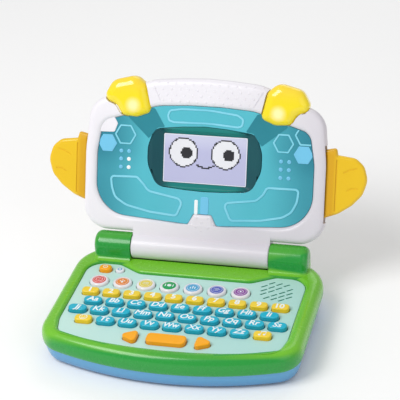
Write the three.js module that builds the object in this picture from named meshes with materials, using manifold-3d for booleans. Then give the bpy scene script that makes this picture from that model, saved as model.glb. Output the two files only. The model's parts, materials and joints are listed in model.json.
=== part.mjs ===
// Toy laptop computer, in millimetres, +Z up, standing on its feet with its lid open.
// The origin is the middle of the whole object's plan, on the surface that it stands on.
import * as THREE from "three";
import { mergeVertices } from "three/addons/utils/BufferGeometryUtils.js";
import Module from "manifold-3d";

const wasm = await Module();
wasm.setup();

// ---- Driving dimensions ----

const GAP = 0.35; // between pieces that meet
const WALL = 2.2; // moulded shell thickness
const ROUND_STEP = Math.PI / 7; // largest turn between two points of an arc
const KEY_STEP = Math.PI / 4; // the same on a key

// Plan positions on the base are measured from the middle letter row, which lies this far
// from the origin.
const KEY_FIELD_Y = -34.77;

const BASE = {
  halfWidth: 116.2,
  frontY: -77,
  frontRadius: 284,
  frontCornerRadius: 26,
  backY: 94,
  backCornerRadius: 36,
  bottomZ: 1.6,
  seamZ: 16,
  rimZ: 34,
};
const PLATE = { topZ: 31, thickness: 2, ledge: 1.6, ledgeThickness: 1.8 };
const KEY = { topZ: 35, travel: 1.5, flangeZ: 27.2, flangeThickness: 1.3, holeGap: 0.55 };
const BUTTON = { topZ: 33.6, pitch: 21.9, fourthX: -18.7, rowY: 33, radius: 8.6 };
const MAT = { topZ: 25.4, thickness: 1 };
const BOARD = { topZ: 24, thickness: 1.6 };

const HINGE = { y: 80, z: 43, radius: 12.1, innerX: 65, outerX: 100 };
const BARREL = { radius: 11.7, halfLength: 64.5 };
const PIN = { radius: 2.5, innerX: 54, length: 28 };

const LID = {
  lean: THREE.MathUtils.degToRad(21.5), // back from upright
  halfWidth: 113.3,
  footS: 13.2, // lower edge, from the hinge axis
  topS: 158.4,
  crestN: 4.6, // front of the white border, from the hinge axis
  panelN: 1.9,
  seamN: -3,
  backN: -12,
};
const PANEL_THICKNESS = 2;
const SCREEN = { halfWidth: 39.3, lowS: 61, highS: 106.3, frontN: -1.1 };
const LAMP = { frontN: 7.4, backN: -11.4, clearance: 0.5 };
const LAMP_LIGHT = { x: 74, s: 136, bulbRadius: 2.5, flangeRadius: 3.2, socketRadius: 4, socketN: 0.6 };
const EAR = {
  pivotX: 106.6,
  rodRadius: 2.6,
  rodLowS: 31.4,
  rodHighS: 107.6,
  webOuterX: 114,
  webLowS: 41,
  webHighS: 97.5,
  webHalfN: 1.6,
  centreN: -3,
  thickness: 7,
  swing: 12,
};
const EAR_SLOT = { lowS: 34.2, highS: 104.2, sideRoom: 0.7, rodEndRoom: 0.4 };

const CELL = { radius: 7.15, length: 50.2, pitch: 15.6, centreY: 34, centreZ: 11.6 };
const FOOT = { radius: 6, height: 2.1, x: 90, frontY: -42, backY: 76 };
const SCREW = { headRadius: 2.9, headHeight: 1.9, shankRadius: 1.4, seatZ: 7, tipZ: 23 };
const BOSS = { upperRadius: 3.4, lowerRadius: 4.6, meetZ: 12.4, topZ: 32.4 };
const LOUDSPEAKER = {
  x: 78,
  y: 43.4,
  backZ: 14.4,
  frontZ: 28.2,
  magnetRadius: 7.5,
  throatRadius: 9,
  rimRadius: 15.6,
};

const COLOUR = {
  green: 0x7cc242,
  blue: 0x5b9bc8,
  mint: 0xc2e4da,
  teal: 0x24b5c6,
  yellow: 0xf3ce2a,
  orange: 0xfdae1b,
  white: 0xf1eef2,
  panel: 0x3fa9bc,
  bezel: 0x0b4f5c,
  display: 0xb9b9dc,
  lamp: 0xf2e02a,
  ear: 0xebc92e,
  steel: 0xb8bcc2,
  rubber: 0x2b2d30,
  board: 0x1f7a45,
  darkGrey: 0x3a3d42,
  button: 0xeef2f2,
};

// ---- Geometry helpers ----

// Points along an arc, both ends included.
function arc(centreX, centreY, radius, from, to, step = ROUND_STEP) {
  const steps = Math.max(1, Math.ceil(Math.abs(to - from) / step - 1e-6));
  const points = [];
  for (let i = 0; i <= steps; i++) {
    const angle = from + ((to - from) * i) / steps;
    points.push(new THREE.Vector2(
      centreX + radius * Math.cos(angle),
      centreY + radius * Math.sin(angle),
    ));
  }
  return points;
}

// A closed outline from corners [x, y, radius], each rounded by an arc that touches both sides.
function rounded(corners, step = ROUND_STEP) {
  const points = [];
  corners.forEach(([x, y, radius], i) => {
    const corner = new THREE.Vector2(x, y);
    const before = corners[(i + corners.length - 1) % corners.length];
    const after = corners[(i + 1) % corners.length];
    const toBefore = new THREE.Vector2(before[0] - x, before[1] - y).normalize();
    const toAfter = new THREE.Vector2(after[0] - x, after[1] - y).normalize();
    const turn = Math.PI - Math.acos(THREE.MathUtils.clamp(toBefore.dot(toAfter), -1, 1));
    if (!radius || turn < 0.02) {
      points.push(corner);
      return;
    }
    const reach = radius * Math.tan(turn / 2);
    const start = corner.clone().addScaledVector(toBefore, reach);
    const left = toBefore.x * toAfter.y - toBefore.y * toAfter.x < 0 ? 1 : -1;
    const inward = new THREE.Vector2(toBefore.y, -toBefore.x).multiplyScalar(left);
    const centre = start.clone().addScaledVector(inward, radius);
    const first = Math.atan2(start.y - centre.y, start.x - centre.x);
    points.push(...arc(centre.x, centre.y, radius, first, first + turn * left, step));
  });
  return points;
}

// Both halves of an outline from the corners of its right half, low end first.
function mirrored(half) {
  const onAxis = ([x]) => Math.abs(x) < 1e-6;
  const other = half.filter((c) => !onAxis(c)).map(([x, y, r]) => [-x, y, r]);
  return [...half, ...other.reverse()];
}

// The outline moved inwards by a distance, or outwards if it is negative.
function inset(points, distance) {
  return points.map((point, i) => {
    const before = points[(i + points.length - 1) % points.length];
    const after = points[(i + 1) % points.length];
    const a = point.clone().sub(before).normalize();
    const b = after.clone().sub(point).normalize();
    const normal = new THREE.Vector2(-a.y - b.y, a.x + b.x);
    const scale = distance / Math.max(0.5, (1 + a.dot(b)) / 2) / 2;
    return point.clone().addScaledVector(normal, scale);
  });
}

function rectangle(x0, y0, x1, y1, radius = 0, step = ROUND_STEP) {
  return rounded([[x0, y0, radius], [x1, y0, radius], [x1, y1, radius], [x0, y1, radius]], step);
}

function circle(x, y, radius, sides = 12) {
  const points = [];
  for (let i = 0; i < sides; i++) {
    const angle = (2 * Math.PI * i) / sides;
    points.push(new THREE.Vector2(x + radius * Math.cos(angle), y + radius * Math.sin(angle)));
  }
  return points;
}

// A closed solid through rings {points, z} that have equal numbers of points, lowest first.
// Each end is a fan about its middle, so the end outlines are star-shaped.
function loft(rings) {
  const count = rings[0].points.length;
  const positions = [];
  const index = [];
  rings.forEach(({ points, z }) => points.forEach((p) => positions.push(p.x, p.y, z)));
  for (let r = 0; r + 1 < rings.length; r++) {
    for (let i = 0; i < count; i++) {
      const a = r * count + i;
      const b = r * count + ((i + 1) % count);
      index.push(a, b, b + count, a, b + count, a + count);
    }
  }
  const cap = (r, facesUp) => {
    const { points, z } = rings[r];
    const middle = points.reduce((sum, p) => sum.add(p), new THREE.Vector2()).divideScalar(count);
    const hub = positions.length / 3;
    positions.push(middle.x, middle.y, z);
    for (let i = 0; i < count; i++) {
      const a = r * count + i;
      const b = r * count + ((i + 1) % count);
      index.push(...(facesUp ? [hub, a, b] : [hub, b, a]));
    }
  };
  cap(0, false);
  cap(rings.length - 1, true);
  const geometry = new THREE.BufferGeometry();
  geometry.setAttribute("position", new THREE.Float32BufferAttribute(positions, 3));
  geometry.setIndex(index);
  return geometry;
}

// A straight prism from z0 to z1.
function prism(points, z0, z1) {
  const geometry = new THREE.ExtrudeGeometry(new THREE.Shape(points), {
    depth: z1 - z0,
    bevelEnabled: false,
  });
  return geometry.translate(0, 0, z0);
}

function block(x0, x1, y0, y1, z0, z1) {
  const geometry = new THREE.BoxGeometry(x1 - x0, y1 - y0, z1 - z0);
  return geometry.translate((x0 + x1) / 2, (y0 + y1) / 2, (z0 + z1) / 2);
}

// A round bar along X, Y or Z, from one end to the other.
function bar(axis, radius, from, to, a = 0, b = 0, sides = 12) {
  const geometry = new THREE.CylinderGeometry(radius, radius, to - from, sides);
  const middle = (from + to) / 2;
  if (axis === "x") return geometry.rotateZ(-Math.PI / 2).translate(middle, a, b);
  if (axis === "y") return geometry.translate(a, middle, b);
  return geometry.rotateX(Math.PI / 2).translate(a, b, middle);
}

// A turned piece about Z, from [radius, z] pairs that start and end on the axis.
function turned(profile, sides = 12) {
  const points = profile.map(([radius, z]) => new THREE.Vector2(radius, z));
  return new THREE.LatheGeometry(points, sides).rotateX(Math.PI / 2);
}

// ---- Solids: cutting and joining ----

function solid(geometry) {
  const bare = geometry.clone();
  bare.deleteAttribute("normal");
  bare.deleteAttribute("uv");
  const merged = mergeVertices(bare, 1e-3);
  return new wasm.Manifold(new wasm.Mesh({
    numProp: 3,
    vertProperties: merged.attributes.position.array,
    triVerts: new Uint32Array(merged.index.array),
  }));
}

function join(...geometries) {
  return geometries.map(solid).reduce((a, b) => a.add(b));
}

function cut(body, ...geometries) {
  return geometries.map(solid).reduce((a, b) => a.subtract(b), body);
}

function geometryOf(manifold) {
  const mesh = manifold.getMesh();
  const geometry = new THREE.BufferGeometry();
  geometry.setAttribute("position", new THREE.BufferAttribute(mesh.vertProperties.slice(), 3));
  geometry.setIndex(new THREE.BufferAttribute(mesh.triVerts.slice(), 1));
  geometry.computeVertexNormals();
  return geometry;
}

function piece(name, shape, colour, roughness = 0.4, metalness = 0) {
  const geometry = shape.isBufferGeometry ? shape : geometryOf(shape);
  const material = new THREE.MeshStandardMaterial({ color: colour, roughness, metalness });
  const mesh = new THREE.Mesh(geometry, material);
  mesh.name = name;
  return mesh;
}

const SIDES = [["left", -1], ["right", 1]];

// ---- Outlines ----

// The base in plan: a shallow curved front, straight sides and rounded corners.
function baseOutline(distance = 0) {
  const centreY = BASE.frontY + BASE.frontRadius;
  const cornerX = BASE.halfWidth - BASE.frontCornerRadius;
  const reach = BASE.frontRadius - BASE.frontCornerRadius;
  const cornerY = centreY - Math.sqrt(reach ** 2 - cornerX ** 2);
  const meet = Math.atan2(cornerY - centreY, cornerX);
  const backX = BASE.halfWidth - BASE.backCornerRadius;
  const backY = BASE.backY - BASE.backCornerRadius;
  const right = [
    ...arc(cornerX, cornerY, BASE.frontCornerRadius - distance, meet, 0),
    ...arc(backX, backY, BASE.backCornerRadius - distance, 0, Math.PI / 2),
  ];
  const left = right.map((p) => new THREE.Vector2(-p.x, p.y)).reverse();
  const front = arc(0, centreY, BASE.frontRadius - distance, -Math.PI - meet, meet, 0.1).slice(1, -1);
  return [...right, ...left, ...front];
}

// The keyboard plate: the base's front curve, and two raised lobes at the back corners.
function plateOutline() {
  return rounded(mirrored([
    [0, -64, 340],
    [52, -60.6, 260],
    [97.5, -50.5, 14],
    [102, -30, 24],
    [102, 63.5, 16],
    [73, 63.5, 10],
    [52, 51, 14],
  ]));
}

function lidOutline() {
  return rounded(mirrored([
    [LID.halfWidth, LID.footS, 24],
    [LID.halfWidth, 88, 60],
    [108.6, 131, 22],
    [50, 154.4, 44],
    [0, LID.topS, 260],
  ]));
}

function panelOutline() {
  return rounded(mirrored([
    [8.6, 34, 2.4],
    [13.5, 24, 3],
    [100.8, 29.6, 30],
    [100.8, 86, 40],
    [96, 114, 12],
    [76, 120, 16],
    [45, 130.5, 40],
    [0, 133.2, 240],
  ]));
}

function bezelOutline() {
  return rounded(mirrored([
    [0, 54.2, 240],
    [44, 57.5, 12],
    [53, 77, 24],
    [53, 93, 22],
    [47.5, 109.5, 10],
    [0, 115.2, 180],
  ]));
}

// One lamp's outline on the lid's upper corner, right side.
function lampOutline() {
  return rounded([
    [50.5, 124.6, 5],
    [64, 119.2, 12],
    [78.5, 120.2, 8],
    [84, 130, 10],
    [97.5, 134.5, 7],
    [88, 152, 12],
    [66, 157.5, 11],
    [56, 149, 8],
  ]);
}

// One ear's outline beyond the lid's side, right side.
function earOutline() {
  return rounded([
    [110.4, 38, 1],
    [126, 40.5, 12],
    [143.5, 57, 14],
    [149.5, 76, 16],
    [136, 94.5, 12],
    [121.5, 94.5, 3],
    [118.6, 100.6, 2],
    [110.4, 100.4, 1],
  ]);
}

// ---- Keyboard layout: centres measured from the middle letter row ----

function row(count, pitch, y) {
  const keys = [];
  for (let i = 0; i < count; i++) keys.push({ x: (i - (count - 1) / 2) * pitch, y });
  return keys;
}

const NUMBER_ROW = row(10, 19.3, 14.4);
const LETTER_ROW_1 = row(9, 20, 0);
const LETTER_ROW_2 = row(10, 20, -14.3);
const BOTTOM_ROW = row(9, 20, -29.2);
const MODE_ROW = row(7, BUTTON.pitch, BUTTON.rowY).map(({ y }, i) => (
  { x: BUTTON.fourthX + (i - 3) * BUTTON.pitch, y }
));

const LETTER_CAP = [16.8, 9.4, 4.6];
const NUMBER_CAP = [15.6, 8.8, 3.4];
const ENTER = [[-17.5, -42.4, 4], [-17.5, -55.2, 4.5], [17.5, -55.2, 4.5], [17.5, -42.4, 4]];
const ARROW = [[26, -39.4, 3], [26, -57.6, 3], [42.4, -49.2, 3.4]];
const POWER = { x: -84.2, y: 52.6, width: 11.6, depth: 8.6 };
const VOLUME = { x: -70.8, y: 53.4, radius: 4.1 };
const GRILLE = { slotLength: 6.4, slotWidth: 1.5, slant: 0.68, pitch: 6.9, split: 3 };
const GRILLE_ROWS = [
  { x: 71, y: 55, count: 3, splitAt: 3 },
  { x: 65, y: 49.2, count: 4, splitAt: 3 },
  { x: 66, y: 43, count: 4, splitAt: 2 },
  { x: 66.6, y: 37.2, count: 4, splitAt: 1 },
  { x: 70.6, y: 31.4, count: 3, splitAt: 3 },
];

function capOutline({ x, y }, [width, depth, radius], grow = 0) {
  const halfX = width / 2 + grow;
  const halfY = depth / 2 + grow;
  return rectangle(x - halfX, y - halfY, x + halfX, y + halfY, radius + grow, KEY_STEP);
}

// A key hole has cut corners, so it costs few faces and clears the rounded cap.
function holeOutline({ x, y }, [width, depth, radius]) {
  const halfX = width / 2 + KEY.holeGap;
  const halfY = depth / 2 + KEY.holeGap;
  const chamfer = radius * 0.42;
  const corners = [
    [halfX - chamfer, -halfY], [halfX, chamfer - halfY], [halfX, halfY - chamfer],
    [halfX - chamfer, halfY], [chamfer - halfX, halfY], [-halfX, halfY - chamfer],
    [-halfX, chamfer - halfY], [chamfer - halfX, -halfY],
  ];
  return corners.map(([a, b]) => new THREE.Vector2(x + a, y + b));
}

function mirrorX(corners) {
  return corners.map(([x, y, r]) => [-x, y, r]).reverse();
}

function counterClockwise(points) {
  return THREE.ShapeUtils.isClockWise(points) ? points.reverse() : points;
}

// ---- Keys: each has a flange under the plate that keeps it in ----

// A crowned cap that stands through the plate, on its flange.
function keyCap(outline, flange, topZ) {
  const cap = loft([
    { points: outline, z: KEY.flangeZ + 0.2 },
    { points: outline, z: topZ - 1.2 },
    { points: inset(outline, 1.4), z: topZ },
  ]);
  return join(cap, prism(flange, KEY.flangeZ, KEY.flangeZ + KEY.flangeThickness));
}

function singleKey(name, centre, size, colour) {
  const outline = capOutline(centre, size);
  const flange = rectangle(
    centre.x - size[0] / 2 - 1, centre.y - size[1] / 2 - 1,
    centre.x + size[0] / 2 + 1, centre.y + size[1] / 2 + 1,
  );
  return piece(name, keyCap(outline, flange, KEY.topZ), colour);
}

// A row of letter caps moulded on one runner under the plate.
function letterStrip(name, centres) {
  const [width, depth] = LETTER_CAP;
  const first = centres[0];
  const last = centres[centres.length - 1];
  const runner = block(
    first.x - width / 2 + 1, last.x + width / 2 - 1,
    first.y - depth / 2 - 1, first.y + depth / 2 + 1,
    KEY.flangeZ, KEY.flangeZ + KEY.flangeThickness,
  );
  const caps = centres.map((centre) => {
    const outline = capOutline(centre, LETTER_CAP);
    return loft([
      { points: outline, z: KEY.flangeZ + 0.2 },
      { points: outline, z: KEY.topZ - 1.2 },
      { points: inset(outline, 1.4), z: KEY.topZ },
    ]);
  });
  return piece(name, join(runner, ...caps), COLOUR.teal);
}

function shapedKey(name, corners) {
  const outline = counterClockwise(rounded(corners, KEY_STEP));
  return piece(name, keyCap(outline, inset(outline, -1), KEY.topZ), COLOUR.orange);
}

// A round mode button: a white ring body with a raised disc.
function roundButton(name, { x, y }, radius, topZ, colour) {
  const shape = turned([
    [0, KEY.flangeZ],
    [radius + 1, KEY.flangeZ],
    [radius + 1, KEY.flangeZ + KEY.flangeThickness],
    [radius, KEY.flangeZ + KEY.flangeThickness],
    [radius, topZ - 1],
    [radius - 1.3, topZ],
    [0, topZ],
  ], 12);
  return piece(name, shape.translate(x, y, 0), colour, 0.35);
}

// ---- Base ----

function upperShell() {
  const outer = loft([
    { points: baseOutline(1.1), z: BASE.seamZ + GAP },
    { points: baseOutline(0), z: 22 },
    { points: baseOutline(0.3), z: 27.5 },
    { points: baseOutline(2.6), z: 32 },
    { points: baseOutline(7.4), z: BASE.rimZ },
  ]);
  const hollow = loft([
    { points: baseOutline(1.1 + WALL), z: BASE.seamZ - 1 },
    { points: baseOutline(WALL), z: 23 },
    { points: baseOutline(2 + WALL), z: 29 },
    { points: baseOutline(5 + WALL), z: 31.4 },
  ]);
  const plate = plateOutline();
  const ledgeZ = PLATE.topZ - PLATE.thickness - GAP;
  const plateWall = prism(inset(plate, -WALL - 0.6), ledgeZ - PLATE.ledgeThickness, BASE.rimZ + 1);
  const axisY = HINGE.y;
  const troughFloor = block(-64, 64, axisY - 13.5, axisY + 11.6, 27.6, 33);
  let body = solid(outer).subtract(cut(solid(hollow), plateWall, troughFloor));
  for (const [, side] of SIDES) {
    body = body.add(knuckle(side)).add(upperBosses(side));
    body = cut(body, knuckleHollow(side));
  }
  const trough = bar("x", BARREL.radius + 1.2, -HINGE.innerX, HINGE.innerX, axisY, HINGE.z, 24);
  const pocket = prism(inset(plate, -0.4), ledgeZ, BASE.rimZ + 5);
  const window = prism(inset(plate, PLATE.ledge), BASE.seamZ, ledgeZ + 1);
  body = cut(body, trough, pocket, window);
  for (const [, side] of SIDES) {
    const from = side > 0 ? PIN.innerX : -PIN.innerX - PIN.length;
    const bore = bar("x", PIN.radius + GAP, from - 1, from + PIN.length + 1, axisY, HINGE.z, 12);
    body = cut(body, bore);
    for (const y of SCREW_Y) {
      body = cut(body, bar("z", SCREW.shankRadius + GAP, 10, 24.5, side * screwX(y), y, 8));
    }
  }
  return piece("base_upper_shell", body, COLOUR.green, 0.32);
}

// The side view of a hinge knuckle: round over the axis, upright below it.
function knuckleProfile(distance) {
  const radius = HINGE.radius - distance;
  return [
    new THREE.Vector2(HINGE.y - radius, 30 - distance),
    new THREE.Vector2(HINGE.y + radius, 30 - distance),
    ...arc(HINGE.y, HINGE.z, radius, 0, Math.PI),
  ];
}

// A knuckle stands along X: its profile's plane is turned from XY to YZ.
function alongX(geometry) {
  const turn = new THREE.Matrix4().makeBasis(
    new THREE.Vector3(0, 1, 0), new THREE.Vector3(0, 0, 1), new THREE.Vector3(1, 0, 0),
  );
  return geometry.applyMatrix4(turn);
}

function mirrorSide(geometry, side) {
  if (side > 0) return geometry;
  const flipped = geometry.index ? geometry.toNonIndexed() : geometry.clone();
  flipped.scale(-1, 1, 1);
  const position = flipped.attributes.position;
  const vertex = new THREE.Vector3();
  const other = new THREE.Vector3();
  for (let i = 0; i < position.count; i += 3) {
    vertex.fromBufferAttribute(position, i + 1);
    other.fromBufferAttribute(position, i + 2);
    position.setXYZ(i + 1, other.x, other.y, other.z);
    position.setXYZ(i + 2, vertex.x, vertex.y, vertex.z);
  }
  return flipped;
}

function knuckle(side) {
  const { innerX, outerX } = HINGE;
  const shape = alongX(loft([
    { points: knuckleProfile(0), z: innerX },
    { points: knuckleProfile(0), z: outerX - 6 },
    { points: knuckleProfile(1.1), z: outerX - 2 },
    { points: knuckleProfile(3.4), z: outerX },
  ]));
  return solid(mirrorSide(shape, side));
}

function knuckleHollow(side) {
  const { innerX, outerX } = HINGE;
  const shape = alongX(loft([
    { points: knuckleProfile(2.6), z: innerX + 8 },
    { points: knuckleProfile(2.6), z: outerX - 6 },
    { points: knuckleProfile(5), z: outerX - 3.6 },
  ]));
  return mirrorSide(shape, side);
}

const SCREW_Y = [-27, 70.5];

// The screws stand beside the plate in front, and further in at the rounded back corners.
function screwX(y) {
  return y < 0 ? 104.2 : 99.6;
}

function upperBosses(side) {
  const { upperRadius, meetZ, topZ } = BOSS;
  return join(...SCREW_Y.map((y) => bar("z", upperRadius, meetZ + 0.2, topZ, side * screwX(y), y, 10)));
}

function faceplate() {
  const bottomZ = PLATE.topZ - PLATE.thickness;
  const shape = new THREE.Shape(plateOutline());
  const hole = (points) => shape.holes.push(new THREE.Path(points));
  NUMBER_ROW.forEach((centre) => hole(holeOutline(centre, NUMBER_CAP)));
  [...LETTER_ROW_1, ...LETTER_ROW_2].forEach((centre) => hole(holeOutline(centre, LETTER_CAP)));
  BOTTOM_ROW.forEach((centre, i) => {
    hole(holeOutline(centre, i === 0 || i === 8 ? NUMBER_CAP : LETTER_CAP));
  });
  [ENTER, ARROW, mirrorX(ARROW)].forEach((corners) => {
    hole(inset(counterClockwise(rounded(corners, KEY_STEP)), -KEY.holeGap));
  });
  MODE_ROW.forEach(({ x, y }) => hole(circle(x, y, BUTTON.radius + KEY.holeGap)));
  hole(holeOutline(POWER, [POWER.width, POWER.depth, 4]));
  hole(circle(VOLUME.x, VOLUME.y, VOLUME.radius + KEY.holeGap));
  GRILLE_ROWS.forEach(({ x, y, count, splitAt }) => {
    for (let i = 0; i < count; i++) {
      const slotX = x + i * GRILLE.pitch + (i >= splitAt ? GRILLE.split : 0);
      hole(slotOutline(slotX, y - i));
    }
  });
  const geometry = new THREE.ExtrudeGeometry(shape, {
    depth: PLATE.thickness,
    bevelEnabled: false,
  });
  return piece("keyboard_faceplate", geometry.translate(0, 0, bottomZ), COLOUR.mint, 0.45);
}

function slotOutline(x, y) {
  const along = new THREE.Vector2(Math.cos(GRILLE.slant), Math.sin(GRILLE.slant));
  const across = new THREE.Vector2(-along.y, along.x);
  return [[-1, -1], [1, -1], [1, 1], [-1, 1]].map(([a, b]) => new THREE.Vector2(x, y)
    .addScaledVector(along, (a * GRILLE.slotLength) / 2)
    .addScaledVector(across, (b * GRILLE.slotWidth) / 2));
}

// The battery bay hangs in the lower shell, open underneath.
const BAY = {
  halfX: CELL.length / 2 + 2,
  halfY: CELL.pitch * 1.5 + 1,
  ceilingZ: CELL.centreZ + CELL.radius + 0.6,
};
const DOOR = { margin: 3, tongue: 11, screwInset: 6, thickness: 1.9 };

function lowerShell() {
  const { bottomZ, seamZ } = BASE;
  const outer = loft([
    { points: baseOutline(7.8), z: bottomZ },
    { points: baseOutline(5.8), z: bottomZ + 1 },
    { points: baseOutline(1.7), z: seamZ },
  ]);
  const hollow = loft([
    { points: baseOutline(6 + WALL), z: bottomZ + WALL },
    { points: baseOutline(1.7 + WALL), z: seamZ + 1 },
  ]);
  let body = solid(outer).subtract(solid(hollow));
  const { halfX, halfY, ceilingZ } = BAY;
  const y = CELL.centreY;
  body = body.add(solid(block(
    -halfX - WALL, halfX + WALL, y - halfY - WALL, y + halfY + WALL, bottomZ + 0.5, ceilingZ + WALL * 0.8,
  )));
  const { thickness } = DOOR;
  const seatZ = bottomZ + thickness + GAP;
  body = body.add(solid(prism(inset(doorOutline(0), -WALL), bottomZ + 0.5, seatZ + 1.6)));
  body = cut(body, prism(doorOutline(0), -1, seatZ));
  body = cut(body, block(-halfX, halfX, y - halfY, y + halfY, -1, ceilingZ));
  for (const [, side] of SIDES) {
    for (const screwY of SCREW_Y) {
      const x = side * screwX(screwY);
      body = body.add(solid(bar("z", BOSS.lowerRadius, bottomZ + 1.2, BOSS.meetZ - 0.2, x, screwY, 12)));
      body = cut(
        body,
        bar("z", SCREW.headRadius + 0.5, -1, SCREW.seatZ, x, screwY, 12),
        bar("z", SCREW.shankRadius + GAP, 6, 13, x, screwY, 8),
      );
    }
    for (const footY of [FOOT.frontY, FOOT.backY]) {
      body = cut(body, bar("z", FOOT.radius + GAP, -1, FOOT.height + GAP, side * FOOT.x, footY, 16));
    }
  }
  body = body.add(solid(bar("z", BOSS.lowerRadius, seatZ, BOSS.meetZ - 0.2, 0, doorScrewY(), 10)));
  body = cut(body, bar("z", SCREW.shankRadius + GAP, -1, 10.5, 0, doorScrewY(), 8));
  return piece("base_lower_shell", body, COLOUR.blue, 0.36);
}

// The door lies flush under the bay and reaches forward, past it, to its screw.
function doorOutline(gap) {
  const { margin, tongue } = DOOR;
  const { halfX, halfY } = BAY;
  const y = CELL.centreY;
  return rectangle(
    gap - halfX - margin, y - halfY - tongue + gap, halfX + margin - gap, y + halfY + margin - gap, 2,
  );
}

function doorScrewY() {
  return CELL.centreY - BAY.halfY - DOOR.screwInset;
}

function batteryDoor() {
  const shape = new THREE.Shape(doorOutline(GAP));
  shape.holes.push(new THREE.Path(circle(0, doorScrewY(), SCREW.shankRadius + GAP, 8)));
  const geometry = new THREE.ExtrudeGeometry(shape, { depth: DOOR.thickness, bevelEnabled: false });
  return piece("battery_door", geometry.translate(0, 0, BASE.bottomZ), COLOUR.blue, 0.4);
}

function batteryCell(index) {
  const { radius, length, pitch, centreY, centreZ } = CELL;
  const direction = index % 2 ? -1 : 1;
  const half = length / 2;
  const profile = [
    [0, -half], [radius, -half], [radius, half - 1.4], [2.7, half - 1.4], [2.7, half], [0, half],
  ];
  const shape = turned(profile, 14);
  shape.rotateY((direction * Math.PI) / 2);
  shape.translate(0, centreY + (index - 1) * pitch, centreZ);
  return piece("battery_cell_" + (index + 1), shape, COLOUR.darkGrey, 0.3, 0.6);
}

// The board and the mat over it fill the key field and leave room for the loudspeaker.
function fieldOutline(shrink) {
  return inset(rounded([
    [-95, -37, 3], [-48, -37, 0], [-44, -60, 3], [44, -60, 3], [48, -37, 0], [95, -37, 3],
    [95, 22, 3], [58, 22, 0], [58, 45, 3], [-58, 45, 0], [-60, 60, 3], [-95, 60, 3],
  ]), shrink);
}

function boardAndMat() {
  const mat = prism(fieldOutline(1.2), MAT.topZ - MAT.thickness, MAT.topZ);
  const board = prism(fieldOutline(0), BOARD.topZ - BOARD.thickness, BOARD.topZ);
  return [
    piece("rubber_key_mat", mat, COLOUR.rubber, 0.8),
    piece("main_circuit_board", board, COLOUR.board, 0.5),
  ];
}

function loudspeaker() {
  const { x, y, backZ, frontZ, magnetRadius, throatRadius, rimRadius } = LOUDSPEAKER;
  const shape = turned([
    [0, backZ],
    [magnetRadius, backZ],
    [magnetRadius, backZ + 4.6],
    [throatRadius, backZ + 4.6],
    [rimRadius, frontZ - 3.2],
    [rimRadius, frontZ],
    [rimRadius - 2.1, frontZ],
    [rimRadius - 3, frontZ - 1.2],
    [6.5, frontZ - 3.8],
    [0, frontZ - 2.8],
  ], 14);
  return piece("loudspeaker", shape.translate(x, y, 0), COLOUR.darkGrey, 0.5, 0.3);
}

function screwShape(tipZ) {
  const { headRadius, headHeight, shankRadius, seatZ } = SCREW;
  const headTop = seatZ - 0.3;
  return turned([
    [0, headTop - headHeight],
    [headRadius - 0.6, headTop - headHeight],
    [headRadius, headTop - headHeight + 0.7],
    [headRadius, headTop],
    [shankRadius, headTop],
    [shankRadius, tipZ - 1.6],
    [0, tipZ],
  ], 10);
}

function fasteners() {
  const screws = SCREW_Y.flatMap((y) => SIDES.map(([name, side]) => {
    const place = y < 0 ? "front" : "rear";
    const shape = screwShape(SCREW.tipZ).translate(side * screwX(y), y, 0);
    return piece(`base_screw_${place}_${name}`, shape, COLOUR.steel, 0.3, 0.9);
  }));
  const doorScrew = turned([
    [0, 0.4], [2.6, 0.4], [3, 1.2], [SCREW.shankRadius, 1.25], [SCREW.shankRadius, 8], [0, 9.6],
  ], 10).translate(0, doorScrewY(), 0);
  return [...screws, piece("battery_door_screw", doorScrew, COLOUR.steel, 0.3, 0.9)];
}

function feet() {
  const places = [["front", FOOT.frontY], ["rear", FOOT.backY]];
  return places.flatMap(([place, y]) => SIDES.map(([name, side]) => {
    const shape = turned([
      [0, 0], [FOOT.radius - 0.8, 0], [FOOT.radius, 0.8], [FOOT.radius, FOOT.height], [0, FOOT.height],
    ], 12);
    return piece(`foot_${place}_${name}`, shape.translate(side * FOOT.x, y, 0), COLOUR.rubber, 0.85);
  }));
}

function hingePins() {
  return SIDES.map(([name, side]) => {
    const from = side > 0 ? PIN.innerX : -PIN.innerX - PIN.length;
    const shape = bar("x", PIN.radius, from, from + PIN.length, HINGE.y, HINGE.z, 12);
    return piece("hinge_pin_" + name, shape, COLOUR.steel, 0.25, 0.9);
  });
}

// ---- Lid, drawn flat: x across, y up the lid from the hinge axis, z out of its face ----

// Room for an ear's rod and its swing, through both shells.
function earSlot(side) {
  const { pivotX, rodRadius, rodLowS, rodHighS, centreN, thickness, swing } = EAR;
  const { lowS, highS, sideRoom, rodEndRoom } = EAR_SLOT;
  const reach = thickness / 2 + Math.sin(THREE.MathUtils.degToRad(swing)) * 8 + 0.5;
  const innerX = pivotX - rodRadius - sideRoom;
  const slot = join(
    block(innerX, LID.halfWidth + 3, lowS, highS, centreN - reach, centreN + reach),
    bar("y", rodRadius + GAP, rodLowS - rodEndRoom, rodHighS + rodEndRoom, pivotX, centreN, 12),
  );
  return side > 0 ? slot : solid(mirrorSide(geometryOf(slot), -1));
}

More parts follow.
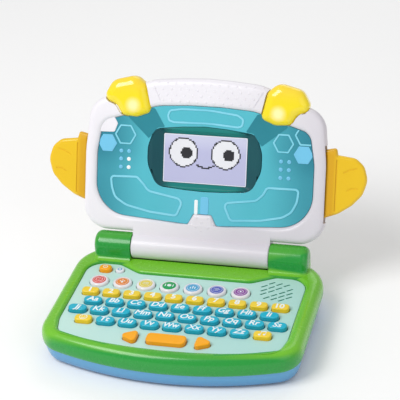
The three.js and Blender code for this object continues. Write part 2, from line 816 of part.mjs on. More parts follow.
function lidFrontShell() {
  const outline = lidOutline();
  const outer = loft([
    { points: outline, z: LID.seamN },
    { points: inset(outline, 0.3), z: 0 },
    { points: inset(outline, 1.7), z: 2.8 },
    { points: inset(outline, 3.8), z: 4.1 },
    { points: inset(outline, 6.4), z: LID.crestN },
  ]);
  const neck = block(-BARREL.halfLength, BARREL.halfLength, 0, LID.footS + 8, LID.seamN, LID.panelN);
  const backNeck = block(
    -BARREL.halfLength, BARREL.halfLength, 0, LID.footS - GAP, -BARREL.radius, LID.seamN + 0.5,
  );
  const barrel = bar("x", BARREL.radius, -BARREL.halfLength, BARREL.halfLength, 0, 0, 24);
  const floorN = LID.panelN - PANEL_THICKNESS - GAP;
  const panel = panelOutline();
  let body = join(outer, neck, backNeck, barrel);
  body = cut(body, prism(inset(panel, -0.4), floorN, 9));
  const hollow = prism(inset(outline, WALL + 0.4), LID.seamN - 1, floorN - 1.6);
  const keep = block(-LID.halfWidth, LID.halfWidth, -20, LID.footS + 4.5, -20, 9);
  body = body.subtract(cut(solid(hollow), keep));
  body = cut(body, prism(inset(bezelOutline(), -2.2), -20, 9));
  const innerWall = inset(panel, -WALL);
  const border = solid(prism(inset(outline, WALL + 1.8), LID.seamN - 1, 2));
  body = body.subtract(cut(border, prism(innerWall, -9, 9), keep));
  for (const [, side] of SIDES) {
    const from = side > 0 ? PIN.innerX : -PIN.innerX - PIN.length;
    body = cut(body, bar("x", PIN.radius + 0.5, from - 1, from + PIN.length, 0, 0, 12));
    body = cut(body, knuckleRoom(side), lampOpening(side));
    body = body.subtract(earSlot(side));
  }
  const bore = bar("x", 7.4, -40, 40, 0, 0, 16);
  const wireWay = block(-12, 12, -2, LID.footS + 6, -8.5, -5);
  body = cut(body, bore, wireWay);
  return piece("lid_front_shell", body, COLOUR.white, 0.35);
}

function lidBackShell() {
  const outline = lidOutline();
  const seam = LID.seamN - GAP;
  const outer = loft([
    { points: inset(outline, 7), z: LID.backN },
    { points: inset(outline, 3.6), z: LID.backN + 0.8 },
    { points: inset(outline, 1), z: LID.backN + 3.6 },
    { points: outline, z: seam },
  ]);
  const hollow = loft([
    { points: inset(outline, 5.4), z: LID.backN + WALL },
    { points: inset(outline, WALL), z: seam + 1 },
  ]);
  let body = solid(outer).subtract(solid(hollow));
  body = body.add(saddles());
  for (const [, side] of SIDES) {
    body = cut(body, knuckleRoom(side), lampOpening(side));
    body = body.subtract(earSlot(side));
  }
  return piece("lid_back_shell", body, COLOUR.white, 0.35);
}

// Half-round bearings inside the back shell for the ends of the ears' rods.
function saddles() {
  const { pivotX, centreN } = EAR;
  const blocks = SIDES.flatMap(([, side]) => [31, 105].map((s) => {
    const x = side * pivotX;
    return block(x - 4.2, x + 4.2, s, s + 3, LID.backN + 1, centreN - 0.6);
  }));
  return join(...blocks);
}

function facePanel() {
  const shape = new THREE.Shape(panelOutline());
  shape.holes.push(new THREE.Path(inset(bezelOutline(), -0.4)));
  const geometry = new THREE.ExtrudeGeometry(shape, {
    depth: PANEL_THICKNESS,
    bevelEnabled: false,
  });
  geometry.translate(0, 0, LID.panelN - PANEL_THICKNESS);
  return piece("face_panel", cut(solid(geometry), lampOpening(1), lampOpening(-1)), COLOUR.panel, 0.3);
}

// A shallow funnel round the display, with a flange behind the panel.
function screenBezel() {
  const outline = bezelOutline();
  const { halfWidth, lowS, highS, frontN } = SCREEN;
  const rim = LID.panelN - 0.1;
  const backN = frontN - 1.4;
  const outer = join(
    prism(outline, backN - 1.2, rim),
    prism(inset(outline, -1.7), backN - 1.2, LID.panelN - PANEL_THICKNESS - 2 * GAP),
  );
  const window = prism(rectangle(-halfWidth, lowS, halfWidth, highS, 1.5), -20, 9);
  const flare = loft([
    { points: rectangle(-halfWidth - 1, lowS - 0.6, halfWidth + 1, highS + 0.6, 2), z: frontN + GAP },
    { points: rectangle(-halfWidth - 10.5, lowS - 3.6, halfWidth + 10.5, highS + 4, 8), z: rim + 0.5 },
  ]);
  return piece("screen_bezel", cut(outer, window, flare), COLOUR.bezel, 0.35);
}

// The display's glass drops into the bezel; the module sits behind both on its board.
function display() {
  const { halfWidth, lowS, highS, frontN } = SCREEN;
  const glass = prism(
    rectangle(-halfWidth + GAP, lowS + GAP, halfWidth - GAP, highS - GAP, 1.2), frontN - 1.4, frontN,
  );
  const backN = frontN - 1.4 - GAP;
  const module = join(
    block(-halfWidth + 0.6, halfWidth - 0.6, lowS + 0.6, highS - 0.6, backN - 2, backN),
    block(-50, 50, lowS - 5, highS + 6, backN - 4.4, backN - 1.7),
  );
  return [
    piece("screen_window", glass, COLOUR.display, 0.12),
    piece("lcd_module", module, COLOUR.darkGrey, 0.5),
  ];
}

// The notch that a lamp stands in, through both shells and the panel.
function lampOpening(side) {
  return mirrorSide(prism(inset(lampOutline(), -LAMP.clearance), -20, 20), side);
}

// Room for a base knuckle to turn past the lid, beside the barrel.
function knuckleRoom(side) {
  const innerX = HINGE.innerX - 0.5;
  const outerX = LID.halfWidth + 17;
  const from = side > 0 ? innerX : -outerX;
  const to = side > 0 ? outerX : -innerX;
  return bar("x", HINGE.radius + 1, from, to, 0, 0, 24);
}

// A translucent bulb on each upper corner, let into both shells, hollow for its light.
function lamp(name, side) {
  const outline = lampOutline();
  const { frontN, backN } = LAMP;
  const outer = loft([
    { points: inset(outline, 6.5), z: backN },
    { points: inset(outline, 2.6), z: backN + 1.6 },
    { points: outline, z: backN + 5 },
    { points: outline, z: 1 },
    { points: inset(outline, 1.6), z: 4.4 },
    { points: inset(outline, 4.2), z: 6.4 },
    { points: inset(outline, 8), z: frontN },
  ]);
  const { x, s, socketRadius, socketN } = LAMP_LIGHT;
  const socket = bar("z", socketRadius, backN - 10, socketN, x, s, 12);
  const shape = geometryOf(cut(solid(outer), socket));
  return piece("antenna_lamp_" + name, mirrorSide(shape, side), COLOUR.lamp, 0.25);
}

function lampLight(name, side) {
  const { x, s, bulbRadius, flangeRadius } = LAMP_LIGHT;
  const footN = LAMP.backN + 1;
  const shape = turned([
    [0, footN],
    [flangeRadius, footN],
    [flangeRadius, footN + 1],
    [bulbRadius, footN + 1],
    [bulbRadius, -2.4],
    [bulbRadius - 0.9, -0.6],
    [0, 0],
  ], 12);
  shape.translate(side * x, s, 0);
  return piece("lamp_light_" + name, shape, COLOUR.button, 0.3);
}

// An ear: a rod that turns in the lid's side, and the blade beyond the slot.
function ear(name, side) {
  const { pivotX, rodRadius, rodLowS, rodHighS, webOuterX, webLowS, webHighS, webHalfN } = EAR;
  const { centreN, thickness } = EAR;
  const half = thickness / 2;
  const outline = earOutline();
  const blade = loft([
    { points: inset(outline, 2.4), z: centreN - half },
    { points: inset(outline, 0.6), z: centreN - half + 1.2 },
    { points: outline, z: centreN },
    { points: inset(outline, 0.6), z: centreN + half - 1.2 },
    { points: inset(outline, 2.4), z: centreN + half },
  ]);
  const web = block(pivotX, webOuterX, webLowS, webHighS, centreN - webHalfN, centreN + webHalfN);
  const rod = bar("y", rodRadius, rodLowS, rodHighS, pivotX, centreN, 12);
  const shape = geometryOf(join(blade, web, rod));
  return piece("ear_" + name, mirrorSide(shape, side), COLOUR.ear, 0.4);
}

// ---- Assembly ----

function baseGroup() {
  const group = new THREE.Group();
  group.add(lowerShell(), upperShell(), faceplate(), batteryDoor(), ...boardAndMat(), loudspeaker());
  [0, 1, 2].forEach((i) => group.add(batteryCell(i)));
  group.add(...fasteners(), ...feet(), ...hingePins());
  NUMBER_ROW.forEach((centre, i) => {
    group.add(singleKey("number_key_" + (i + 1), centre, NUMBER_CAP, COLOUR.yellow));
  });
  group.add(letterStrip("letter_keys_a_to_i", LETTER_ROW_1));
  group.add(letterStrip("letter_keys_j_to_s", LETTER_ROW_2));
  group.add(letterStrip("letter_keys_t_to_z", BOTTOM_ROW.slice(1, 8)));
  group.add(singleKey("smile_key", BOTTOM_ROW[0], NUMBER_CAP, COLOUR.yellow));
  group.add(singleKey("music_key", BOTTOM_ROW[8], NUMBER_CAP, COLOUR.yellow));
  group.add(shapedKey("enter_key", ENTER));
  group.add(shapedKey("arrow_key_right", ARROW));
  group.add(shapedKey("arrow_key_left", mirrorX(ARROW)));
  MODE_ROW.forEach((centre, i) => {
    group.add(roundButton("mode_button_" + (i + 1), centre, BUTTON.radius, BUTTON.topZ, COLOUR.button));
  });
  group.add(singleKey("power_button", POWER, [POWER.width, POWER.depth, 4], COLOUR.orange));
  group.add(roundButton("volume_button", VOLUME, VOLUME.radius, 33, COLOUR.button));
  return group;
}

function lidGroup() {
  const group = new THREE.Group();
  group.add(lidFrontShell(), lidBackShell(), facePanel(), screenBezel(), ...display());
  for (const [name, side] of SIDES) group.add(lamp(name, side), lampLight(name, side), ear(name, side));
  group.position.set(0, HINGE.y, HINGE.z);
  group.rotation.x = Math.PI / 2 - LID.lean;
  return group;
}

const laptop = new THREE.Group();
laptop.add(baseGroup(), lidGroup());
laptop.position.y = KEY_FIELD_Y;

export default laptop;
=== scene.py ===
"""Looks of a child's toy laptop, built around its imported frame.

Every sub-assembly is a class that holds its sizes in millimetres, makes its meshes and dresses
them. Lengths on the base are measured from the middle letter row; lengths on the lid are
measured on its own tilted plane, from the hinge axis.
"""

from __future__ import annotations

import json
import logging
import math
from dataclasses import dataclass, field
from enum import Enum
from typing import Any, Iterable, Sequence

import bmesh
import bpy
import numpy as np
from mathutils import Matrix, Vector
from mathutils.bvhtree import BVHTree

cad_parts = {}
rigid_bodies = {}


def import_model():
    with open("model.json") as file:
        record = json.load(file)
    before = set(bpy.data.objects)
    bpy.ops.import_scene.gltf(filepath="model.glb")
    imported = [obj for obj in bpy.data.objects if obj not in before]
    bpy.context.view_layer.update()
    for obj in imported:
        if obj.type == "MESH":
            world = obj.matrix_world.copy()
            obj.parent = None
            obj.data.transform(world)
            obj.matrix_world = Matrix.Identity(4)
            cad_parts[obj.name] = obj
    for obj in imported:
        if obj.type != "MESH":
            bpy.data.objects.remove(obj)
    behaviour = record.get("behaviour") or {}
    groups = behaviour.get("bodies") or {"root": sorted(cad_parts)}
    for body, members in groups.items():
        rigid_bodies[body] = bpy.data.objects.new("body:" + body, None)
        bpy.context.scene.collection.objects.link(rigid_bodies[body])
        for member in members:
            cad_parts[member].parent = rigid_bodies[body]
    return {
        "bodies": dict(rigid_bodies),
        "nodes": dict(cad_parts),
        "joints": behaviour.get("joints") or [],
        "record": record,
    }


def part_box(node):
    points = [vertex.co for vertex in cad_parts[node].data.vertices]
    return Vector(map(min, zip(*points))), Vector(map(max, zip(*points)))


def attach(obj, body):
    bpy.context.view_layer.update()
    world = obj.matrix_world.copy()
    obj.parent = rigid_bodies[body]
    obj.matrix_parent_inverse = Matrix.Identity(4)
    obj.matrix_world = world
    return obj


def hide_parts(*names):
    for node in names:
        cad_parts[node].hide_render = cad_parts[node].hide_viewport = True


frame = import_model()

LOG = logging.getLogger("toy_laptop")
MM = 0.001
Corner = tuple[float, float, float]
Rgb = tuple[float, float, float]


def hex_rgb(code: str) -> Rgb:
    """Turns a display colour such as "7cc242" into linear red, green and blue."""
    parts = [int(code[i : i + 2], 16) / 255 for i in (0, 2, 4)]
    linear = [c / 12.92 if c <= 0.04045 else ((c + 0.055) / 1.055) ** 2.4 for c in parts]
    return (linear[0], linear[1], linear[2])


class Hue(Enum):
    """The object's colours."""

    GREEN = hex_rgb("74c22a")
    # Painted shade on the green case's front, flanks and hinge knuckles.
    GREEN_DEEP = hex_rgb("1f9a38")
    BLUE = hex_rgb("5fa3d0")
    BLUE_DEEP = hex_rgb("4b8cbd")
    MINT = hex_rgb("c6e9e2")
    # Painted shade on the keyboard plate.
    MINT_DEEP = hex_rgb("b0dcd6")
    # Each key colour and its lighter partner: the sides take the first as painted shade, the crowns take the
    # second as painted highlight.
    TEAL = hex_rgb("0f9fb8")
    TEAL_TOP = hex_rgb("1fb6d2")
    YELLOW = hex_rgb("f2c81c")
    YELLOW_TOP = hex_rgb("f8d63c")
    ORANGE = hex_rgb("fba200")
    ORANGE_TOP = hex_rgb("ffae00")
    WHITE = hex_rgb("efecf2")
    # Painted shade on the lid shell, and a cloudy tone on the white buttons.
    WHITE_DEEP = hex_rgb("d3ced6")
    PANEL = hex_rgb("52bccc")
    PANEL_DEEP = hex_rgb("1c7d92")
    BEAM = hex_rgb("1f7d8e")
    BEAM_DEEP = hex_rgb("2f93a2")
    BEZEL = hex_rgb("043c4b")
    BEZEL_GREEN = hex_rgb("0a7d78")
    LCD = hex_rgb("bcbce0")
    LCD_PALE = hex_rgb("cfd0ea")
    PRINT_BLUE = hex_rgb("74c6ea")
    PRINT_WHITE = hex_rgb("f4fafc")
    FILL_BLUE = hex_rgb("68c6dc")
    RIM = hex_rgb("8ad8ec")
    INK = hex_rgb("2a2a30")
    EYE = hex_rgb("ececf2")
    LAMP = hex_rgb("efd80a")
    LAMP_CAP = hex_rgb("f3cf3c")
    LAMP_HEART = hex_rgb("fffad0")
    EAR = hex_rgb("f0c61a")
    EAR_ROOT = hex_rgb("dfa914")
    GRILLE = hex_rgb("0f8f77")
    STEEL = hex_rgb("b9bdc2")
    RUBBER = hex_rgb("2c2e31")
    BOARD = hex_rgb("1d7b48")
    BOARD_LINE = hex_rgb("39a568")
    JACKET = hex_rgb("34373d")
    COPPER = hex_rgb("c98a4b")
    FLOOR = hex_rgb("ffffff")


class Disc(Enum):
    """The coloured discs of the mode buttons, in their order along the row."""

    RED = hex_rgb("e2504a")
    ORANGE = hex_rgb("ee8a2c")
    YELLOW = hex_rgb("ead24a")
    GREEN = hex_rgb("1fa152")
    SKY = hex_rgb("52a9d8")
    INDIGO = hex_rgb("5a5fc0")
    PLUM = hex_rgb("93409f")


# ---- Shader building ----


class Wire:
    """A value in a shader: it wraps a socket, and arithmetic on it adds Math nodes."""

    def __init__(self, shader: Shader, socket: bpy.types.NodeSocket) -> None:
        """Keeps the socket and the shader that it belongs to."""
        self.shader = shader
        self.socket = socket

    def _maths(self, operation: str, first: Any, second: Any = 0.0, clamp: bool = False) -> Wire:
        """Adds one Math node.

        Args:
            operation: The Math node's operation.
            first: A wire or a number.
            second: A wire or a number.
            clamp: Whether the result is kept within 0 and 1.

        Returns:
            The node's result.
        """
        settings = {"operation": operation, "use_clamp": clamp}
        return self.shader.node("ShaderNodeMath", settings, {0: first, 1: second})

    def __add__(self, other: Any) -> Wire:
        """self + other."""
        return self._maths("ADD", self, other)

    def __radd__(self, other: Any) -> Wire:
        """other + self."""
        return self._maths("ADD", other, self)

    def __sub__(self, other: Any) -> Wire:
        """self - other."""
        return self._maths("SUBTRACT", self, other)

    def __rsub__(self, other: Any) -> Wire:
        """other - self."""
        return self._maths("SUBTRACT", other, self)

    def __mul__(self, other: Any) -> Wire:
        """self * other."""
        return self._maths("MULTIPLY", self, other)

    def __rmul__(self, other: Any) -> Wire:
        """other * self."""
        return self._maths("MULTIPLY", other, self)

    def __truediv__(self, other: Any) -> Wire:
        """self / other."""
        return self._maths("DIVIDE", self, other)

    def __abs__(self) -> Wire:
        """The size of the value without its sign."""
        return self._maths("ABSOLUTE", self)

    def ramp(self, start: float, end: float) -> Wire:
        """Rises smoothly from 0 at start to 1 at end, or falls if end is lower.

        Args:
            start: Where the result is 0.
            end: Where the result is 1.

        Returns:
            The smooth step.
        """
        low, high, flip = (start, end, False) if start < end else (end, start, True)
        settings = {"interpolation_type": "SMOOTHSTEP", "data_type": "FLOAT"}
        step = self.shader.node(
            "ShaderNodeMapRange", settings, {"Value": self, "From Min": low, "From Max": high}
        )
        return 1.0 - step if flip else step


class Shader:
    """A material under construction."""

    def __init__(self, name: str) -> None:
        """Starts an empty node material.

        Args:
            name: The material's name.
        """
        self.material = bpy.data.materials.new(name)
        self.material.use_nodes = True
        self.tree = self.material.node_tree
        self.tree.nodes.clear()
        self._place: Wire | None = None

    def node(
        self, kind: str, settings: dict[str, Any], inputs: dict[Any, Any], output: int | str | None = 0
    ) -> Wire | None:
        """Adds a node of any kind.

        Args:
            kind: The node's type.
            settings: Its own settings, such as an operation.
            inputs: Wires or values, by socket name or place.
            output: Which output is returned, if any.

        Returns:
            The chosen output.
        """
        made = self.tree.nodes.new(kind)
        for key, value in settings.items():
            setattr(made, key, value)
        for key, value in inputs.items():
            if isinstance(value, Wire):
                self.tree.links.new(value.socket, made.inputs[key])
            else:
                made.inputs[key].default_value = value
        return None if output is None else Wire(self, made.outputs[output])

    @property
    def place(self) -> Wire:
        """Where the shaded point is on the piece, in metres."""
        if self._place is None:
            self._place = self.node("ShaderNodeTexCoord", {}, {}, "Object")
        return self._place

    def along(self, direction: Vector, origin: Vector) -> Wire:
        """How far the point lies from an origin along a direction, in millimetres.

        Args:
            direction: A unit vector.
            origin: The point that counts as zero, in metres.

        Returns:
            The distance.
        """
        settings = {"operation": "DOT_PRODUCT"}
        dot = self.node(
            "ShaderNodeVectorMath", settings, {0: self.place, 1: tuple(direction)}, "Value"
        )
        return (dot - direction.dot(origin)) * 1000.0

    def noise(self, scale: float, detail: float = 2.0, roughness: float = 0.5) -> Wire:
        """Even noise over the piece.

        Args:
            scale: How many features fit in a metre.
            detail: How many finer layers it has.
            roughness: How strong those layers are.

        Returns:
            A value around 0.5.
        """
        inputs = {"Vector": self.place, "Scale": scale, "Detail": detail, "Roughness": roughness}
        return self.node("ShaderNodeTexNoise", {"noise_dimensions": "3D"}, inputs, "Fac")

    def mix(self, share: Any, first: Any, second: Any) -> Wire:
        """Blends two colours.

        Args:
            share: 0 gives the first and 1 the second.
            first: A colour or a wire.
            second: A colour or a wire.

        Returns:
            The blend.
        """
        tidy = [c if isinstance(c, Wire) else (*c, 1.0) for c in (first, second)]
        settings = {"data_type": "RGBA", "clamp_factor": True}
        return self.node("ShaderNodeMix", settings, {0: share, 6: tidy[0], 7: tidy[1]}, 2)

    def bump(self, height: Wire, strength: float, distance: float) -> Wire:
        """Turns a height into a surface normal.

        Args:
            height: The height field.
            strength: How much of it shows.
            distance: Its depth, in metres.

        Returns:
            The normal.
        """
        inputs = {"Height": height, "Strength": strength, "Distance": distance}
        return self.node("ShaderNodeBump", {}, inputs)

    def finish(self, **sockets: Any) -> bpy.types.Material:
        """Adds the surface shader.

        Args:
            **sockets: Values or wires by socket name, with underscores for spaces.

        Returns:
            The finished material.
        """
        inputs = {}
        for key, value in sockets.items():
            plain_colour = key.endswith("Color") and isinstance(value, tuple)
            inputs[key.replace("_", " ")] = (*value, 1.0) if plain_colour else value
        surface = self.node("ShaderNodeBsdfPrincipled", {}, inputs)
        self.node("ShaderNodeOutputMaterial", {}, {"Surface": surface}, None)
        return self.material


# ---- Finishes ----


@dataclass(frozen=True)
class Moulded:
    """Moulded plastic: an even colour with slight cloudiness, a fine spark grain and a soft gloss."""

    name: str
    colour: Hue | Disc
    deep: Hue | Disc | None = None
    roughness: float = 0.3
    coat: float = 0.15
    grain: float = 0.08
    cloud: float = 14.0

    def material(self) -> bpy.types.Material:
        """Builds the material."""
        shader = Shader(self.name)
        deep = (self.deep or self.colour).value
        if self.deep is None:
            deep = tuple(c * 0.9 for c in deep)
        cloudy = shader.noise(self.cloud, 3.0)
        fine = shader.noise(2600.0, 2.0)
        scuffs = shader.noise(210.0, 5.0, 0.65)
        base = shader.mix(cloudy.ramp(0.35, 0.72) * 0.55, self.colour.value, deep)
        return shader.finish(
            Base_Color=base,
            Roughness=self.roughness + scuffs.ramp(0.45, 0.75) * 0.08 + fine * 0.03,
            Normal=shader.bump(fine + scuffs * 0.4, self.grain, 0.00012),
            Coat_Weight=self.coat,
            Coat_Roughness=0.12,
            Specular_IOR_Level=0.35,
        )


@dataclass(frozen=True)
class TwoTone:
    """A key cap with painted light: a lighter crown as painted highlight and darker sides as painted shade.
    """

    name: str
    side: Hue
    crown: Hue
    crown_z: float
    roughness: float = 0.26

    def material(self) -> bpy.types.Material:
        """Builds the material."""
        shader = Shader(self.name)
        height = shader.along(Vector((0, 0, 1)), Vector((0, 0, 0)))
        crown = height.ramp(self.crown_z - 1.3, self.crown_z - 0.2)
        cloudy = shader.noise(60.0, 2.0)
        fine = shader.noise(2400.0, 2.0)
        # Painted light: the crown takes the highlight colour and the sides the shaded one.
        base = shader.mix(crown * (0.75 + cloudy * 0.25), self.side.value, self.crown.value)
        return shader.finish(
            Base_Color=base,
            Roughness=self.roughness + fine * 0.06 + crown * 0.05,
            Normal=shader.bump(fine, 0.08, 0.0001),
            Coat_Weight=0.15,
            Coat_Roughness=0.1,
            Specular_IOR_Level=0.35,
        )


@dataclass(frozen=True)
class Blend:
    """A surface whose colour runs from one hue to another along a direction; on the lid shell and the
    keyboard plate this is painted light and shade.
    """

    name: str
    first: Hue
    second: Hue
    direction: Vector
    origin: Vector
    start: float
    end: float
    roughness: float = 0.28
    coat: float = 0.2
    both_ways: bool = False

    def material(self) -> bpy.types.Material:
        """Builds the material."""
        shader = Shader(self.name)
        travel = shader.along(self.direction, self.origin)
        share = (abs(travel) if self.both_ways else travel).ramp(self.start, self.end)
        cloudy = shader.noise(22.0, 2.0)
        fine = shader.noise(2600.0, 2.0)
        base = shader.mix(
            share * 0.85 + (cloudy - 0.5) * 0.35, self.first.value, self.second.value
        )
        return shader.finish(
            Base_Color=base,
            Roughness=self.roughness + fine * 0.05,
            Normal=shader.bump(fine, 0.05, 0.0001),
            Coat_Weight=self.coat,
            Coat_Roughness=0.08,
            Specular_IOR_Level=0.35,
        )


@dataclass(frozen=True)
class CaseGreen:
    """The green case with painted light: yellow-green where it faces the light, and deeper green as painted
    shade on its front, towards its right, low on its flanks and on its hinge knuckles.
    """

    name: str
    origin: Vector

    def material(self) -> bpy.types.Material:
        """Builds the material."""
        shader = Shader(self.name)
        x = shader.along(Vector((1, 0, 0)), self.origin)
        y = shader.along(Vector((0, 1, 0)), self.origin)
        z = shader.along(Vector((0, 0, 1)), self.origin)
        away_from_light = shader.node("ShaderNodeAttribute", {"attribute_name": "front"}, {}, "Fac")
        # Painted shade: deeper green on faces turned from the key light, low on the flanks, on the hinge
        # knuckles and along the front towards the right.
        front_right_shade = y.ramp(-50.0, -72.0) * (0.25 + x.ramp(-95.0, 15.0) * 0.5)
        share = away_from_light.ramp(0.1, 0.7) * 0.8 + z.ramp(30.0, 15.0) * 0.4 + z.ramp(35.0, 41.0) * 0.75 + front_right_shade
        cloudy = shader.noise(18.0, 3.0)
        fine = shader.noise(2600.0, 2.0)
        scuffs = shader.noise(180.0, 5.0, 0.65)
        base = shader.mix(share + (cloudy - 0.5) * 0.4, Hue.GREEN.value, Hue.GREEN_DEEP.value)
        return shader.finish(
            Base_Color=base,
            Roughness=0.24 + fine * 0.05 + scuffs.ramp(0.5, 0.8) * 0.08,
            Normal=shader.bump(fine + scuffs * 0.5, 0.06, 0.0001),
            Coat_Weight=0.3,
            Coat_Roughness=0.08,
            Specular_IOR_Level=0.4,
        )


@dataclass(frozen=True)
class PanelFilm:
    """The face panel: bright in the middle, deeper towards its sides and top corners."""

    name: str
    across: Vector
    up: Vector
    origin: Vector

    def material(self) -> bpy.types.Material:
        """Builds the material."""
        shader = Shader(self.name)
        x = shader.along(self.across, self.origin)
        s = shader.along(self.up, self.origin)
        side = abs(x).ramp(52.0, 100.0)
        upper = s.ramp(66.0, 96.0) * abs(x).ramp(50.0, 70.0)
        cloudy = shader.noise(16.0, 2.0)
        deep = side * 0.7 + upper * 0.3 + (cloudy - 0.5) * 0.3
        glow = (1.0 - abs(x).ramp(8.0, 52.0)) * (1.0 - abs(s - 40.0).ramp(8.0, 30.0))
        base = shader.mix(deep, Hue.PANEL.value, Hue.PANEL_DEEP.value)
        base = shader.mix(glow * 0.45, base, Hue.FILL_BLUE.value)
        fine = shader.noise(2600.0, 2.0)
        return shader.finish(
            Base_Color=base,
            Roughness=0.24 + fine * 0.05,
            Normal=shader.bump(fine, 0.04, 0.0001),
            Coat_Weight=0.35,
            Coat_Roughness=0.08,
        )


@dataclass(frozen=True)
class LampPlastic:
    """Clear yellow plastic that is lit from within near its foot."""

    name: str
    heart: Vector
    up: Vector

    def material(self) -> bpy.types.Material:
        """Builds the material."""
        shader = Shader(self.name)
        away = shader.node(
            "ShaderNodeVectorMath",
            {"operation": "DISTANCE"},
            {0: shader.place, 1: tuple(self.heart)},
            "Value",
        )
        near = 1.0 - (away * 1000.0).ramp(1.5, 9.0)
        cap = shader.along(self.up, self.heart).ramp(8.0, 24.0)
        streak = shader.noise(90.0, 2.0)
        base = shader.mix(cap * 0.8 + (streak - 0.5) * 0.3, Hue.LAMP.value, Hue.LAMP_CAP.value)
        base = shader.mix(near * 0.6, base, Hue.LAMP_HEART.value)
        glow = shader.mix(near, Hue.LAMP.value, Hue.LAMP_HEART.value)
        fine = shader.noise(1800.0, 2.0)
        return shader.finish(
            Base_Color=base,
            Roughness=0.14 + streak * 0.08,
            Normal=shader.bump(fine + streak, 0.04, 0.0002),
            Emission_Color=glow,
            Emission_Strength=0.12,
            Coat_Weight=0.5,
            Coat_Roughness=0.06,
            Subsurface_Weight=0.12,
            Subsurface_Radius=(0.006, 0.005, 0.001),
        )


@dataclass(frozen=True)
class BrushedSteel:
    """Plated steel with fine turning marks."""

    name: str
    colour: Hue = Hue.STEEL

    def material(self) -> bpy.types.Material:
        """Builds the material."""
        shader = Shader(self.name)
        marks = shader.noise(1500.0, 3.0)
        base = shader.mix(marks.ramp(0.3, 0.7) * 0.4, self.colour.value, Hue.WHITE.value)
        return shader.finish(
            Base_Color=base,
            Metallic=1.0,
            Roughness=0.24 + marks * 0.18,
            Normal=shader.bump(marks, 0.12, 0.00005),
        )


@dataclass(frozen=True)
class Rubber:
    """Matt rubber with a fine pebbled grain."""

    name: str
    colour: Hue = Hue.RUBBER

    def material(self) -> bpy.types.Material:
        """Builds the material."""
        shader = Shader(self.name)
        grain = shader.node(
            "ShaderNodeTexVoronoi", {"feature": "F1"}, {"Vector": shader.place, "Scale": 1400.0}, 0
        )
        cloudy = shader.noise(70.0, 3.0)
        base = shader.mix(cloudy * 0.4, self.colour.value, tuple(c * 2.2 for c in self.colour.value))
        return shader.finish(
            Base_Color=base,
            Roughness=0.72 + cloudy * 0.16,
            Normal=shader.bump(grain, 0.3, 0.00015),
        )


@dataclass(frozen=True)
class CircuitBoard:
    """Solder mask with paler tracks."""

    name: str

    def material(self) -> bpy.types.Material:
        """Builds the material."""
        shader = Shader(self.name)
        tracks = shader.node(
            "ShaderNodeTexBrick",
            {"offset": 0.37},
            {"Vector": shader.place, "Scale": 160.0, "Mortar Size": 0.06, "Row Height": 0.31},
            "Fac",
        )
        cloudy = shader.noise(50.0, 2.0)
        base = shader.mix(tracks * 0.7 + cloudy * 0.1, Hue.BOARD.value, Hue.BOARD_LINE.value)
        return shader.finish(
            Base_Color=base,
            Roughness=0.34 + cloudy * 0.1,
            Normal=shader.bump(tracks, 0.2, 0.00005),
        )


@dataclass(frozen=True)
class CellJacket:
    """A battery's printed jacket: a dark body, a copper band at one end and bare metal ends."""

    name: str
    direction: float

    def material(self) -> bpy.types.Material:
        """Builds the material."""
        shader = Shader(self.name)
        x = shader.along(Vector((self.direction, 0, 0)), Vector((0, 0, 0)))
        band = x.ramp(11.5, 12.0)
        ends = abs(x).ramp(24.0, 24.3)
        fine = shader.noise(900.0, 3.0)
        base = shader.mix(band, Hue.JACKET.value, Hue.COPPER.value)
        base = shader.mix(ends, base, Hue.STEEL.value)
        return shader.finish(
            Base_Color=base,
            Metallic=0.25 + ends * 0.7,
            Roughness=0.24 + fine * 0.16,
            Normal=shader.bump(fine, 0.08, 0.00005),
        )


@dataclass(frozen=True)
class Gauze:
    """Woven speaker cloth."""

    name: str
    colour: Hue = Hue.GRILLE

    def material(self) -> bpy.types.Material:
        """Builds the material."""
        shader = Shader(self.name)
        warp = shader.node(
            "ShaderNodeTexWave",
            {"wave_type": "BANDS", "bands_direction": "X"},
            {"Vector": shader.place, "Scale": 420.0, "Distortion": 0.4},
            "Fac",
        )
        weft = shader.node(
            "ShaderNodeTexWave",
            {"wave_type": "BANDS", "bands_direction": "Y"},
            {"Vector": shader.place, "Scale": 420.0, "Distortion": 0.4},
            "Fac",
        )
        weave = warp * weft
        dark = tuple(c * 0.5 for c in self.colour.value)
        return shader.finish(
            Base_Color=shader.mix(weave, dark, self.colour.value),
            Roughness=0.8 + weave * 0.1,
            Normal=shader.bump(weave, 0.4, 0.0001),
        )


# ---- Outlines and solids ----


@dataclass(frozen=True)
class Place:
    """A flat working frame in millimetres, set into the part's frame in metres."""

    origin: Vector
    across: Vector
    along: Vector
    out: Vector

    def matrix(self) -> Matrix:
        """The matrix from working millimetres to the part's metres."""
        turn = Matrix((self.across, self.along, self.out)).transposed()
        return Matrix.Translation(self.origin) @ turn.to_4x4() @ Matrix.Scale(MM, 4)

    def point(self, x: float, y: float, z: float) -> Vector:
        """A working point in the part's frame."""
        return self.matrix() @ Vector((x, y, z))


